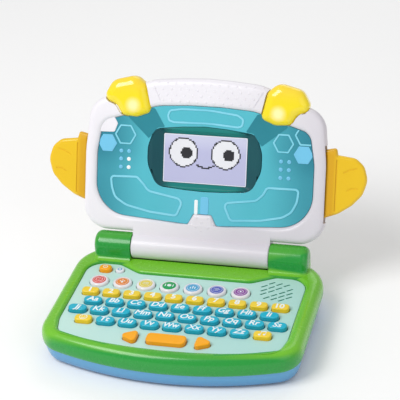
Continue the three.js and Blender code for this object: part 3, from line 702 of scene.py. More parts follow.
class Outline:
    """A closed outline, counterclockwise, in millimetres."""

    def __init__(self, points: Iterable[Sequence[float]]) -> None:
        """Keeps the points, turned counterclockwise."""
        self.points = np.array([tuple(p) for p in points], float)
        x, y = self.points.T
        if (x * np.roll(y, -1) - y * np.roll(x, -1)).sum() < 0:
            self.points = self.points[::-1]

    @staticmethod
    def arc(centre: Sequence[float], radius: float, start: float, end: float, step: float) -> list:
        """Points along an arc, both ends included.

        Args:
            centre: The arc's middle.
            radius: Its radius.
            start: The angle of its first point, in radians.
            end: The angle of its last point.
            step: The largest turn between points.

        Returns:
            The points.
        """
        count = max(2, math.ceil(abs(end - start) / step) + 1)
        angles = np.linspace(start, end, count)
        return [(centre[0] + radius * math.cos(a), centre[1] + radius * math.sin(a)) for a in angles]

    @classmethod
    def rounded(cls, corners: Sequence[Corner], step: float = math.radians(7)) -> Outline:
        """An outline from corners that are each rounded by an arc.

        Args:
            corners: Each corner's place and radius.
            step: The largest turn between points of an arc.

        Returns:
            The outline.
        """
        points: list = []
        count = len(corners)
        for i, (x, y, radius) in enumerate(corners):
            corner = np.array((x, y))
            back = np.array(corners[i - 1][:2]) - corner
            ahead = np.array(corners[(i + 1) % count][:2]) - corner
            back, ahead = back / np.linalg.norm(back), ahead / np.linalg.norm(ahead)
            turn = math.pi - math.acos(float(np.clip(back @ ahead, -1, 1)))
            if radius <= 0 or turn < 0.01:
                points.append((x, y))
                continue
            start = corner + back * radius * math.tan(turn / 2)
            left = 1.0 if back[0] * ahead[1] - back[1] * ahead[0] < 0 else -1.0
            centre = start + np.array((back[1], -back[0])) * left * radius
            first = math.atan2(*(start - centre)[::-1])
            points += cls.arc(centre, radius, first, first + turn * left, step)
        return cls(points)

    @classmethod
    def mirrored(cls, half: Sequence[Corner]) -> Outline:
        """A rounded outline from the corners of its right half, low end first."""
        other = [(-x, y, r) for x, y, r in half if abs(x) > 1e-6]
        return cls.rounded([*half, *reversed(other)])

    @classmethod
    def box(cls, x0: float, y0: float, x1: float, y1: float, radius: float = 0.0) -> Outline:
        """A rectangle with rounded corners."""
        return cls.rounded([(x0, y0, radius), (x1, y0, radius), (x1, y1, radius), (x0, y1, radius)])

    @classmethod
    def circle(cls, x: float, y: float, radius: float, sides: int = 48) -> Outline:
        """A circle."""
        turn = 2 * math.pi
        return cls(cls.arc((x, y), radius, 0, turn * (1 - 1 / sides), turn / sides * 1.001))

    @classmethod
    def hexagon(cls, x: float, y: float, radius: float, rounding: float = 0.8) -> Outline:
        """A hexagon with two corners at its sides."""
        sixth = math.pi / 3
        return cls.rounded(
            [(x + radius * math.cos(i * sixth), y + radius * math.sin(i * sixth), rounding) for i in range(6)]
        )

    @staticmethod
    def exactly(points: np.ndarray) -> Outline:
        """An outline of these very points, in the order they have."""
        made = Outline.__new__(Outline)
        made.points = points
        return made

    def inset(self, distance: float) -> Outline:
        """The outline moved inwards, or outwards by a negative distance, point for point."""
        ahead = np.roll(self.points, -1, axis=0) - self.points
        ahead /= np.linalg.norm(ahead, axis=1)[:, None]
        back = np.roll(ahead, 1, axis=0)
        normal = np.stack([-(ahead + back)[:, 1], (ahead + back)[:, 0]], 1)
        even = np.maximum(0.25, (1 + (ahead * back).sum(1)) / 2)
        return Outline.exactly(self.points + normal * (distance / 2 / even)[:, None])

    def moved(self, x: float, y: float) -> Outline:
        """The outline in another place."""
        return Outline.exactly(self.points + np.array((x, y)))

    def flipped(self) -> Outline:
        """The outline's mirror image in x."""
        return Outline(self.points * np.array((-1.0, 1.0)))

    def bearings(self, centre: Sequence[float]) -> np.ndarray:
        """The angles of its points about a centre."""
        away = self.points - np.array(centre)
        return np.arctan2(away[:, 1], away[:, 0])

    def on_rays(self, centre: Sequence[float], angles: np.ndarray, distance: float = 0.0) -> Outline:
        """Where rays from a centre meet the outline once it is moved inwards by a distance.

        Args:
            centre: A point inside the outline.
            angles: The rays' angles, rising.
            distance: How far it is moved inwards, or outwards if negative.

        Returns:
            An outline with one point for each ray.
        """
        a = self.inset(distance).points - np.array(centre)
        step = np.roll(a, -1, axis=0) - a
        ray = np.stack([np.cos(angles), np.sin(angles)], 1)
        cross = ray[:, None, 0] * step[None, :, 1] - ray[:, None, 1] * step[None, :, 0]
        cross = np.where(np.abs(cross) < 1e-12, 1e-12, cross)
        far = (a[None, :, 0] * step[None, :, 1] - a[None, :, 1] * step[None, :, 0]) / cross
        share = (a[None, :, 0] * ray[:, None, 1] - a[None, :, 1] * ray[:, None, 0]) / cross
        hit = (share > -1e-7) & (share < 1 + 1e-7) & (far > 0)
        if distance > 0:
            reach = np.where(hit, far, np.inf).min(1)
        else:
            reach = np.where(hit, far, -np.inf).max(1)
        return Outline.exactly(ray * reach[:, None] + np.array(centre))


def shared_rays(centre: Sequence[float], *outlines: Outline) -> np.ndarray:
    """Angles that serve every corner of several outlines.

    Args:
        centre: A point inside them all.
        *outlines: The outlines.

    Returns:
        The angles, rising and a little apart.
    """
    angles = np.sort(np.concatenate([o.bearings(centre) for o in outlines]))
    kept = [angles[0]]
    for angle in angles[1:]:
        if angle - kept[-1] > 0.0045:
            kept.append(angle)
    return np.array(kept)


Level = tuple[Outline, float]


class Solid:
    """A closed mesh under construction, in working millimetres."""

    def __init__(self, vertices: Sequence = (), faces: Sequence = ()) -> None:
        """Keeps the vertices and faces."""
        self.vertices = [tuple(map(float, v)) for v in vertices]
        self.faces = [tuple(f) for f in faces]

    @classmethod
    def loft(cls, levels: Sequence[Level], ring: bool = False) -> Solid:
        """A skin through outlines of equal point counts.

        Args:
            levels: Each outline with its height.
            ring: Whether the last outline joins the first, in place of two end caps.

        Returns:
            The solid.
        """
        count = len(levels[0][0].points)
        vertices = [(x, y, z) for outline, z in levels for x, y in outline.points]
        faces = []
        rows = len(levels)
        for r in range(rows if ring else rows - 1):
            a, b = r * count, ((r + 1) % rows) * count
            for i in range(count):
                j = (i + 1) % count
                faces.append((a + i, a + j, b + j, b + i))
        if not ring:
            faces.append(tuple(reversed(range(count))))
            faces.append(tuple(range((rows - 1) * count, rows * count)))
        return cls(vertices, faces)

    @classmethod
    def slab(cls, outline: Outline, low: float, high: float, top: float = 0.0, foot: float = 0.0) -> Solid:
        """A flat slab with rounded edges.

        Args:
            outline: Its outline.
            low: Its lowest height.
            high: Its highest height.
            top: The radius of its upper edge.
            foot: The radius of its lower edge.

        Returns:
            The solid.
        """
        levels: list[Level] = []
        turns = (0.0, 0.25, 0.5, 0.75, 1.0)
        for t in turns if foot > 0 else ():
            angle = t * math.pi / 2
            levels.append((outline.inset(foot * (1 - math.sin(angle))), low + foot * (1 - math.cos(angle))))
        levels = levels or [(outline, low)]
        for t in turns if top > 0 else ():
            angle = t * math.pi / 2
            levels.append((outline.inset(top * (1 - math.cos(angle))), high - top * (1 - math.sin(angle))))
        if top <= 0:
            levels.append((outline, high))
        return cls.loft(levels)

    @classmethod
    def ribbon(cls, outline: Outline, width: float, low: float, high: float) -> Solid:
        """A raised line of even width that follows an outline."""
        wide, thin = outline.inset(-width / 2), outline.inset(width / 2)
        soft = min(0.06, (high - low) / 3)
        return cls.loft(
            [
                (wide, low),
                (wide, high - soft),
                (wide.inset(soft), high),
                (thin.inset(-soft), high),
                (thin, high - soft),
                (thin, low),
            ],
            ring=True,
        )

    @classmethod
    def block(
        cls, outline: Outline, middle: Sequence[float], levels: Sequence[tuple[float, float]]
    ) -> Solid:
        """A soft block from an outline, its middle, and pairs of inset and height."""
        rays = shared_rays(middle, outline)
        return cls.loft([(outline.on_rays(middle, rays, d), n) for d, n in levels])

    @classmethod
    def turned(cls, profile: Sequence[tuple[float, float]], sides: int = 40) -> Solid:
        """A turned piece about the upright axis, from radius and height pairs that aren't on the axis."""
        return cls.loft([(Outline.circle(0, 0, radius, sides), z) for radius, z in profile])

    @classmethod
    def bar(cls, radius: float, start: float, end: float, s: float, n: float, sides: int = 64) -> Solid:
        """A round bar along X with softened ends."""
        soft = min(0.8, radius * 0.2)
        profile = [(radius - soft, start), (radius, start + soft), (radius, end - soft), (radius - soft, end)]
        upright = cls.turned(profile, sides)
        return cls([(z, x + s, y + n) for x, y, z in upright.vertices], upright.faces)

    def along_x(self) -> Solid:
        """Stands a solid whose plan is a side view along X: plan x, y and height become y, z and x."""
        return Solid([(z, x, y) for x, y, z in self.vertices], self.faces)

    def moved(self, x: float, y: float, z: float) -> Solid:
        """The solid in another place."""
        return Solid([(a + x, b + y, c + z) for a, b, c in self.vertices], self.faces)

    def turned_by(self, angle: float) -> Solid:
        """The solid turned about the upright axis by an angle in radians."""
        c, s = math.cos(angle), math.sin(angle)
        return Solid([(a * c - b * s, a * s + b * c, z) for a, b, z in self.vertices], self.faces)

    def flipped(self) -> Solid:
        """The solid's mirror image in x."""
        return Solid([(-a, b, c) for a, b, c in self.vertices], [f[::-1] for f in self.faces])

    def __add__(self, other: Solid) -> Solid:
        """Both solids in one mesh, side by side."""
        shift = len(self.vertices)
        moved = [tuple(i + shift for i in f) for f in other.faces]
        return Solid(self.vertices + other.vertices, self.faces + moved)

    def mesh(self, name: str) -> bpy.types.Mesh:
        """Makes a mesh with its faces outwards."""
        mesh = bpy.data.meshes.new(name)
        mesh.from_pydata(self.vertices, [], self.faces)
        work = bmesh.new()
        work.from_mesh(mesh)
        bmesh.ops.remove_doubles(work, verts=work.verts, dist=1e-5)
        bmesh.ops.recalc_face_normals(work, faces=work.faces)
        work.to_mesh(mesh)
        work.free()
        return mesh

    def thing(self, name: str) -> bpy.types.Object:
        """Makes an object in working millimetres."""
        made = bpy.data.objects.new(name, self.mesh(name))
        bpy.context.scene.collection.objects.link(made)
        return made


class Joining(Enum):
    """How one solid is worked into another."""

    ADD = "UNION"
    CUT = "DIFFERENCE"
    KEEP = "INTERSECT"


class Workshop:
    """Joins, cuts, places and finishes pieces."""

    def __init__(self) -> None:
        """Starts with no pieces."""
        self.made: list[str] = []

    @staticmethod
    def settle(thing: bpy.types.Object) -> bpy.types.Object:
        """Applies an object's modifiers to its mesh."""
        bpy.context.view_layer.update()
        evaluated = thing.evaluated_get(bpy.context.evaluated_depsgraph_get())
        mesh = bpy.data.meshes.new_from_object(evaluated)
        thing.modifiers.clear()
        old = thing.data
        if thing.type == "MESH":
            thing.data = mesh
            bpy.data.meshes.remove(old)
            return thing
        name = thing.name
        bpy.data.objects.remove(thing)
        plain = bpy.data.objects.new(name, mesh)
        bpy.context.scene.collection.objects.link(plain)
        return plain

    def work(self, thing: bpy.types.Object, *steps: tuple[Joining, Solid]) -> bpy.types.Object:
        """Works solids into an object one after another.

        Args:
            thing: The object, in working millimetres.
            *steps: How, and which solid.

        Returns:
            The same object.
        """
        for how, solid in steps:
            tool = solid.thing("tool")
            modifier = thing.modifiers.new("work", "BOOLEAN")
            modifier.operation = how.value
            modifier.solver = "MANIFOLD"
            modifier.object = tool
            self.settle(thing)
            bpy.data.objects.remove(tool)
        return thing

    def place(
        self,
        thing: bpy.types.Object,
        place: Place,
        material: bpy.types.Material,
        smooth: float = 34.0,
    ) -> bpy.types.Object:
        """Puts a working object in its place in the part's frame, smooths it and gives it its material.

        Args:
            thing: The object, in working millimetres.
            place: Its working frame.
            material: Its finish.
            smooth: The largest angle that is shaded smooth, in degrees.

        Returns:
            The same object, at the origin with its place in its mesh.
        """
        mesh = thing.data
        mesh.transform(place.matrix())
        thing.matrix_world = Matrix.Identity(4)
        mesh.materials.clear()
        mesh.materials.append(material)
        mesh.shade_smooth()
        # Painted shade: "front" holds how far each point faces away from the key light, towards the front,
        # the right and down; the green case is painted darker by it.
        front = mesh.attributes.new("front", "FLOAT", "POINT")
        turns = np.array([normal.vector[:] for normal in mesh.vertex_normals])
        front.data.foreach_set("value", np.clip(turns @ np.array((0.35, -0.85, -0.4)), 0.0, 1.0))
        mesh.set_sharp_from_angle(angle=math.radians(smooth))
        weigh = thing.modifiers.new("weigh", "WEIGHTED_NORMAL")
        weigh.keep_sharp = True
        return self.settle(thing)

    def fit(
        self, thing: bpy.types.Object, body: str, slot: str, replaces: Sequence[str] = ()
    ) -> bpy.types.Object:
        """Lets a placed piece ride on a body and stand for its nodes.

        Args:
            thing: The piece.
            body: The body that carries it.
            slot: The record's material slot; not used.
            replaces: The nodes that it stands for.

        Returns:
            The piece.
        """
        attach(thing, body)
        if replaces:
            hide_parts(*replaces)
        self.made.append(thing.name)
        LOG.info("%s rides on %s and has %d faces", thing.name, body, len(thing.data.polygons))
        return thing


# ---- Geometry Nodes ----


class GeometryTree:
    """A Geometry Nodes tree under construction."""

    def __init__(self, name: str) -> None:
        """Starts a tree with a geometry output.

        Args:
            name: The tree's name.
        """
        self.tree = bpy.data.node_groups.new(name, "GeometryNodeTree")
        self.tree.interface.new_socket("Geometry", in_out="OUTPUT", socket_type="NodeSocketGeometry")
        self.entry = self.tree.nodes.new("NodeGroupInput")
        self.exit = self.tree.nodes.new("NodeGroupOutput")
        self.names: dict[str, str] = {}

    def input(self, name: str, kind: str) -> bpy.types.NodeSocket:
        """Adds a named input.

        Args:
            name: The input's name.
            kind: Its socket type, without the NodeSocket that it starts with.

        Returns:
            The socket that carries it inside the tree.
        """
        made = self.tree.interface.new_socket(name, in_out="INPUT", socket_type="NodeSocket" + kind)
        self.names[name] = made.identifier
        return self.entry.outputs[name]

    def node(self, kind: str, settings: dict[str, Any], inputs: dict[Any, Any], output: int | str = 0) -> Any:
        """Adds a node.

        Args:
            kind: The node's type.
            settings: Its own settings.
            inputs: Sockets or values, by name or place.
            output: Which output is returned.

        Returns:
            The chosen output socket.
        """
        made = self.tree.nodes.new(kind)
        for key, value in settings.items():
            setattr(made, key, value)
        for key, value in inputs.items():
            if isinstance(value, bpy.types.NodeSocket):
                self.tree.links.new(value, made.inputs[key])
            else:
                made.inputs[key].default_value = value
        return made.outputs[output]

    def close(self, instances: bpy.types.NodeSocket) -> None:
        """Ends the tree: realizes the copies and gives them their finish."""
        finish = self.input("Finish", "Material")
        real = self.node("GeometryNodeRealizeInstances", {}, {0: instances})
        dressed = self.node("GeometryNodeSetMaterial", {}, {"Geometry": real, "Material": finish})
        self.tree.links.new(dressed, self.exit.inputs[0])

    def build(self, name: str, values: dict[str, Any]) -> bpy.types.Object:
        """Makes a plain mesh object from the tree.

        Args:
            name: The object's name.
            values: The inputs, by name.

        Returns:
            The object, in the units of the inputs.
        """
        thing = bpy.data.objects.new(name, bpy.data.meshes.new(name))
        bpy.context.scene.collection.objects.link(thing)
        modifier = thing.modifiers.new("build", "NODES")
        modifier.node_group = self.tree
        for key, value in values.items():
            modifier[self.names[key]] = value
        return Workshop.settle(thing)


class Trees:
    """The trees that this object uses, each built once."""

    def __init__(self) -> None:
        """Builds the trees."""
        self.row = self._row()
        self.marks = self._marks()

    @staticmethod
    def _row() -> GeometryTree:
        """Copies of a piece at an even pitch along a line."""
        tree = GeometryTree("row_of_pieces")
        piece = tree.input("Piece", "Object")
        count = tree.input("Count", "Int")
        first = tree.input("First place", "Vector")
        pitch = tree.input("Pitch", "Vector")
        line = tree.node(
            "GeometryNodeMeshLine",
            {"mode": "OFFSET"},
            {"Count": count, "Start Location": first, "Offset": pitch},
        )
        shape = tree.node("GeometryNodeObjectInfo", {}, {"Object": piece}, "Geometry")
        tree.close(tree.node("GeometryNodeInstanceOnPoints", {}, {"Points": line, "Instance": shape}))
        return tree

    @staticmethod
    def _marks() -> GeometryTree:
        """Copies of a piece at the corners of a mesh of marks, each turned by the marks' own angle."""
        tree = GeometryTree("pieces_at_marks")
        piece = tree.input("Piece", "Object")
        marks = tree.input("Marks", "Object")
        places = tree.node("GeometryNodeObjectInfo", {}, {"Object": marks}, "Geometry")
        shape = tree.node("GeometryNodeObjectInfo", {}, {"Object": piece}, "Geometry")
        angle = tree.node("GeometryNodeInputNamedAttribute", {"data_type": "FLOAT"}, {"Name": "turn"})
        turn = tree.node("ShaderNodeCombineXYZ", {}, {"Z": angle})
        copies = tree.node(
            "GeometryNodeInstanceOnPoints",
            {},
            {"Points": places, "Instance": shape, "Rotation": turn},
        )
        tree.close(copies)
        return tree


def marks_object(name: str, marks: Sequence[tuple[float, float, float, float]]) -> bpy.types.Object:
    """A mesh of loose points that carry their turn.

    Args:
        name: The object's name.
        marks: Each mark's place and its turn in radians.

    Returns:
        The object.
    """
    mesh = bpy.data.meshes.new(name)
    mesh.from_pydata([m[:3] for m in marks], [], [])
    turn = mesh.attributes.new("turn", "FLOAT", "POINT")
    turn.data.foreach_set("value", [m[3] for m in marks])
    made = bpy.data.objects.new(name, mesh)
    bpy.context.scene.collection.objects.link(made)
    return made


def filled(
    name: str, outer: Outline, holes: Sequence[Outline], low: float, high: float, edge: float
) -> bpy.types.Object:
    """A flat plate with holes, and a small round on every edge.

    Args:
        name: The object's name.
        outer: The plate's outline.
        holes: The outlines of its holes.
        low: Its lowest height.
        high: Its highest height.
        edge: The radius of its edges.

    Returns:
        The plate, in working millimetres.
    """
    curve = bpy.data.curves.new(name, "CURVE")
    curve.dimensions = "2D"
    curve.fill_mode = "BOTH"
    curve.extrude = (high - low) / 2 - edge
    curve.bevel_depth = edge
    curve.bevel_resolution = 2
    curve.offset = -edge
    for points in (outer.points, *(hole.points[::-1] for hole in holes)):
        spline = curve.splines.new("POLY")
        spline.points.add(len(points) - 1)
        for point, (x, y) in zip(spline.points, points):
            point.co = (x, y, 0.0, 1.0)
        spline.use_cyclic_u = True
    thing = bpy.data.objects.new(name, curve)
    bpy.context.scene.collection.objects.link(thing)
    plain = Workshop.settle(thing)
    work = bmesh.new()
    work.from_mesh(plain.data)
    bmesh.ops.remove_doubles(work, verts=work.verts, dist=1e-4)
    bmesh.ops.translate(work, verts=work.verts, vec=(0, 0, (low + high) / 2))
    bmesh.ops.recalc_face_normals(work, faces=work.faces)
    work.to_mesh(plain.data)
    work.free()
    return plain


def lettering(text: str, height: float, limit: float, depth: float, italic: float) -> Solid:
    """A word as a flat solid centred on the origin.

    Args:
        text: The word.
        height: The height of its capitals.
        limit: Its greatest width.
        depth: Its thickness.
        italic: How far it leans.

    Returns:
        The solid, standing on height zero.
    """
    curve = bpy.data.curves.new("word", "FONT")
    curve.body = text
    curve.size = height / 0.69
    curve.shear = italic
    curve.extrude = depth / 2
    curve.resolution_u = 3
    curve.align_x = "CENTER"
    thing = bpy.data.objects.new("word", curve)
    bpy.context.scene.collection.objects.link(thing)
    plain = Workshop.settle(thing)
    co = np.array([v.co for v in plain.data.vertices], float)
    faces = [tuple(p.vertices) for p in plain.data.polygons]
    bpy.data.objects.remove(plain)
    low, high = co.min(0), co.max(0)
    co[:, 0] -= (low[0] + high[0]) / 2
    co[:, 1] -= height / 2
    co[:, 2] += depth / 2
    co[:, 0] *= min(1.0, limit / (high[0] - low[0]))
    return Solid(co, faces)


# ---- The base ----

KEY_TOP = 35.0
PLATE_TOP = 31.0
PLATE_FOOT = 29.0
KEY_FOOT = 27.6
INLAY = 0.12


@dataclass
class Base:
    """The two case halves, the keyboard plate, the feet, the screws and the battery door."""

    shop: Workshop
    trees: Trees
    place: Place
    half_width: float = 116.2
    front_y: float = -77.0
    front_radius: float = 284.0
    front_corner: float = 26.0
    back_y: float = 94.0
    back_corner: float = 36.0
    seam_z: float = 16.0
    foot_z: float = 1.6
    hinge_y: float = 80.0
    hinge_z: float = 43.0
    knuckle_radius: float = 12.1
    knuckle_inner: float = 65.0
    knuckle_outer: float = 100.0
    bay_half_x: float = 27.1
    bay_half_y: float = 24.4
    bay_y: float = 34.0
    speaker: tuple[float, float] = (78.0, 43.4)
    centre: tuple[float, float] = (0.0, 0.0)

    def outline(self, distance: float = 0.0) -> Outline:
        """The case in plan, moved inwards by a distance."""
        centre_y = self.front_y + self.front_radius
        corner_x = self.half_width - self.front_corner
        reach = self.front_radius - self.front_corner
        corner_y = centre_y - math.sqrt(reach**2 - corner_x**2)
        meet = math.atan2(corner_y - centre_y, corner_x)
        back = (self.half_width - self.back_corner, self.back_y - self.back_corner)
        fine = math.radians(4)
        right = Outline.arc((corner_x, corner_y), self.front_corner - distance, meet, 0, fine)
        right += Outline.arc(back, self.back_corner - distance, 0, math.pi / 2, fine)
        left = [(-x, y) for x, y in reversed(right)]
        low = Outline.arc(
            (0, centre_y), self.front_radius - distance, -math.pi - meet, meet, math.radians(1.2)
        )
        return Outline([*right, *left, *low[1:-1]])

    @staticmethod
    def plate_outline() -> Outline:
        """The keyboard plate, with a lobe at each back corner."""
        return Outline.mirrored(
            [
                (0, -64, 340),
                (52, -60.6, 260),
                (97.5, -50.5, 14),
                (102, -30, 24),
                (102, 63.5, 16),
                (73, 63.5, 10),
                (52, 51, 14),
            ]
        )

    def build(self) -> None:
        """Makes every piece of the base."""
        self._upper_shell()
        self._lower_shell()
        self._battery_door()
        self._feet_and_screws()
        self._speaker_cloth()

    def _upper_shell(self) -> None:
        """The green case half: a rounded rim round the plate's pocket, with a hinge knuckle at each side."""
        case, plate = self.outline(), self.plate_outline()
        rays = shared_rays(self.centre, case, plate)
        outer = [
            (1.3, 16.35), (0.7, 17.4), (0.25, 19.4), (0.0, 22.3), (0.1, 25.0), (0.5, 27.4),
            (1.35, 29.6), (2.7, 31.5), (4.5, 32.9), (6.7, 33.75), (8.8, 34.0),
        ]
        pocket = [
            (-3.9, 34.0), (-2.7, 33.8), (-1.7, 33.3), (-0.95, 32.5), (-0.5, 31.4), (-0.4, 30.2),
            (-0.4, 28.65), (1.6, 28.65), (1.6, 26.8), (-2.8, 26.8), (-2.8, 31.2),
        ]
        inner = [(9.5, 31.2), (5.6, 30.0), (3.4, 27.0), (2.5, 22.5), (3.4, 16.35)]
        levels = [(self.outline(d).on_rays(self.centre, rays), z) for d, z in outer]
        levels += [(plate.on_rays(self.centre, rays, d), z) for d, z in pocket]
        levels += [(self.outline(d).on_rays(self.centre, rays), z) for d, z in inner]
        shell = Solid.loft(levels, ring=True).thing("case_upper")
        knuckle = self._knuckle()
        trough = Solid.bar(12.9, -self.knuckle_inner, self.knuckle_inner, self.hinge_y, self.hinge_z)
        bore = Solid.bar(2.9, -83, 83, self.hinge_y, self.hinge_z, 24)
        self.shop.work(
            shell,
            (Joining.ADD, knuckle),
            (Joining.ADD, knuckle.flipped()),
            (Joining.CUT, trough),
            (Joining.CUT, bore),
        )
        finish = CaseGreen("green_case", self.place.origin)
        self.shop.place(shell, self.place, finish.material())
        self.shop.fit(shell, "base", "base_green", ["base_upper_shell"])

    def _knuckle(self) -> Solid:
        """The right hinge knuckle: round over the axis and flared into the deck in front."""
        y, z, radius = self.hinge_y, self.hinge_z, self.knuckle_radius
        levels: list[Level] = []
        ends = [(0.0, self.knuckle_inner), (0.0, self.knuckle_outer - 6.0)]
        ends += [
            (5.4 * (1 - math.cos(t)), self.knuckle_outer - 6.0 + 6.0 * math.sin(t))
            for t in (0.3, 0.6, 0.9, 1.2, math.pi / 2)
        ]
        for shrink, x in ends:
            r = radius - shrink
            flare = Outline.arc((y - r - 4.6, z - 4.4), 4.6, -math.pi / 2, 0, math.radians(15))
            over = Outline.arc((y, z), r, math.pi, 0, math.radians(6))
            profile = [*flare, *over, (y + r, z - 10.5), (y + r - 1.5, z - 13), (y - r - 4.6, z - 13)]
            made = Outline.__new__(Outline)
            made.points = np.array(profile)[::-1]
            levels.append((made, x))
        return Solid.loft(levels).along_x()

    def _lower_shell(self) -> None:
        """The blue case half, open at the top, with its wells for screws, feet and the battery door."""
        inner = [(9.6, 3.8), (6.6, 4.6), (5.2, 8.0), (4.2, 16.0)]
        outer = [
            (1.9, 16.0), (2.4, 12.5), (3.4, 8.2), (4.6, 5.0), (5.8, 3.2), (7.4, 2.0), (9.4, 1.6),
        ]
        shell = Solid.loft([(self.outline(d), z) for d, z in inner + outer]).thing("case_lower")
        wells = [(x, y) for x, y in self.screw_places()]
        y, hx, hy = self.bay_y, self.bay_half_x, self.bay_half_y
        seat = Solid.slab(Outline.box(-hx - 5, y - hy - 13, hx + 5, y + hy + 5, 3), 3.0, 5.4)
        steps = [(Joining.ADD, Solid.slab(Outline.circle(a, b, 4.6), 3.0, 12.2)) for a, b in wells]
        steps += [(Joining.ADD, seat)]
        steps += [(Joining.CUT, Solid.slab(Outline.circle(a, b, 3.4), 0.0, 7.0)) for a, b in wells]
        steps += [(Joining.CUT, Solid.slab(Outline.circle(a, b, 1.75, 20), 6.0, 13.0)) for a, b in wells]
        steps += [
            (Joining.CUT, Solid.slab(Outline.circle(a, b, 6.35), 0.0, 2.45)) for a, b in self.foot_places()
        ]
        steps += [
            (Joining.CUT, Solid.slab(self.door_outline(0.0), 0.0, 3.85)),
            (Joining.CUT, Solid.slab(Outline.box(-hx, y - hy, hx, y + hy, 1), 0.0, 6.0)),
        ]
        self.shop.work(shell, *steps)
        finish = Blend(
            "blue_case", Hue.BLUE, Hue.BLUE_DEEP, Vector((0, 0, 1)), self.place.origin, 13.0, 3.0, 0.3, 0.3
        )
        self.shop.place(shell, self.place, finish.material())
        self.shop.fit(shell, "base", "base_blue", ["base_lower_shell"])

    def door_outline(self, gap: float) -> Outline:
        """The battery door's outline, a gap inside its recess."""
        y, hx, hy = self.bay_y, self.bay_half_x, self.bay_half_y
        return Outline.box(gap - hx - 3, y - hy - 11 + gap, hx + 3 - gap, y + hy + 3 - gap, 2)

    def screw_places(self) -> list[tuple[float, float]]:
        """Where the case screws stand."""
        return [(s * x, y) for x, y in ((104.2, -27.0), (99.6, 70.5)) for s in (-1, 1)]

    @staticmethod
    def foot_places() -> list[tuple[float, float]]:
        """Where the feet stand."""
        return [(s * 90.0, y) for y in (-42.0, 76.0) for s in (-1, 1)]

    def _battery_door(self) -> None:
        """The door under the cells, with a ribbed thumb grip and a moulded arrow."""
        door = Solid.slab(self.door_outline(0.35), self.foot_z, 3.5, 0.2, 0.5).thing("battery_cover")
        hole = Solid.slab(Outline.circle(0, self.bay_y - self.bay_half_y - 6, 3.3), 0.0, 2.0)
        grip = Solid.slab(Outline.box(-11, self.bay_y + 8, 11, self.bay_y + 20, 3), 0.0, 2.2)
        arrow = Solid.slab(Outline.rounded([(-5, 28, 0.8), (5, 28, 0.8), (0, 34, 0.8)]), 0.0, 2.0)
        shank = Solid.slab(Outline.circle(0, self.bay_y - self.bay_half_y - 6, 1.75, 20), 0.0, 5.0)
        self.shop.work(
            door, (Joining.CUT, hole), (Joining.CUT, grip), (Joining.CUT, arrow), (Joining.CUT, shank)
        )
        finish = Moulded("blue_door", Hue.BLUE, Hue.BLUE_DEEP, 0.34, 0.2, 0.12).material()
        self.shop.place(door, self.place, finish)
        self.shop.fit(door, "base", "base_blue", ["battery_door"])
        rib = Solid.slab(Outline.box(-9.5, -0.6, 9.5, 0.6, 0.5), 1.75, 2.25).thing("rib")
        ribs = self.trees.row.build(
            "battery_cover_ribs",
            {"Piece": rib, "Count": 4, "First place": (0.0, self.bay_y + 10, 0.0), "Pitch": (0.0, 2.7, 0.0)},
        )
        bpy.data.objects.remove(rib)
        self.shop.place(ribs, self.place, finish)
        self.shop.fit(ribs, "base", "base_blue")

    def _feet_and_screws(self) -> None:
        """The rubber feet, and the screws in their wells."""
        foot = Solid.turned([(4.6, 0.0), (5.6, 0.35), (6.0, 1.0), (6.0, 2.1)], 40).thing("foot")
        marks = marks_object("foot_marks", [(x, y, 0.0, 0.0) for x, y in self.foot_places()])
        feet = self.trees.marks.build("rubber_feet", {"Piece": foot, "Marks": marks})
        self.shop.place(feet, self.place, Rubber("foot_rubber").material())
        names = [f"foot_{a}_{b}" for a in ("front", "rear") for b in ("left", "right")]
        self.shop.fit(feet, "base", "rubber_dark", names)
        screw = self._screw()
        spots = [(x, y, 4.8, 0.4 + 1.1 * i) for i, (x, y) in enumerate(self.screw_places())]
        spots.append((0.0, self.bay_y - self.bay_half_y - 6, 0.4, 0.9))
        screw_marks = marks_object("screw_marks", spots)
        screws = self.trees.marks.build("case_screws", {"Piece": screw, "Marks": screw_marks})
        for spare in (foot, marks, screw, screw_marks):
            bpy.data.objects.remove(spare)
        self.shop.place(screws, self.place, BrushedSteel("screw_steel").material())
        nodes = [f"base_screw_{a}_{b}" for a in ("front", "rear") for b in ("left", "right")]
        self.shop.fit(screws, "base", "steel", [*nodes, "battery_door_screw"])

    def _screw(self) -> bpy.types.Object:
        """A pan-head screw that points up, with a cross recess in its head."""
        profile = [(1.8, 0.0), (2.5, 0.2), (2.85, 0.7), (2.9, 1.2), (1.4, 1.25), (1.4, 8.0), (0.3, 9.2)]
        screw = Solid.turned(profile, 32).thing("screw")
        slot = Solid.slab(Outline.box(-1.7, -0.35, 1.7, 0.35), -1.0, 0.8)
        self.shop.work(screw, (Joining.CUT, slot), (Joining.CUT, slot.turned_by(math.pi / 2)))
        return screw

    def _speaker_cloth(self) -> None:
        """The cloth behind the slots of the plate."""
        x, y = self.speaker
        cloth = Solid.slab(Outline.circle(x, y, 18.6), 28.35, 28.8, 0.1).thing("speaker_cloth")
        plugs = Solid()
        for slot in Keyboard.sound_slots():
            plugs = plugs + Solid.slab(slot.inset(-0.05), 28.5, 30.5)
        self.shop.work(cloth, (Joining.ADD, plugs))
        self.shop.place(cloth, self.place, Gauze("green_gauze").material())
        self.shop.fit(cloth, "base", "speaker_grey")


# ---- The keyboard ----


class Icon(Enum):
    """The little pictures on the mode buttons, in their order along the row."""

    BOOK = "book"
    PAW = "paw"
    LINES = "lines"
    PLATE = "plate"
    BARS = "bars"
    WAVES = "waves"
    TARGET = "target"


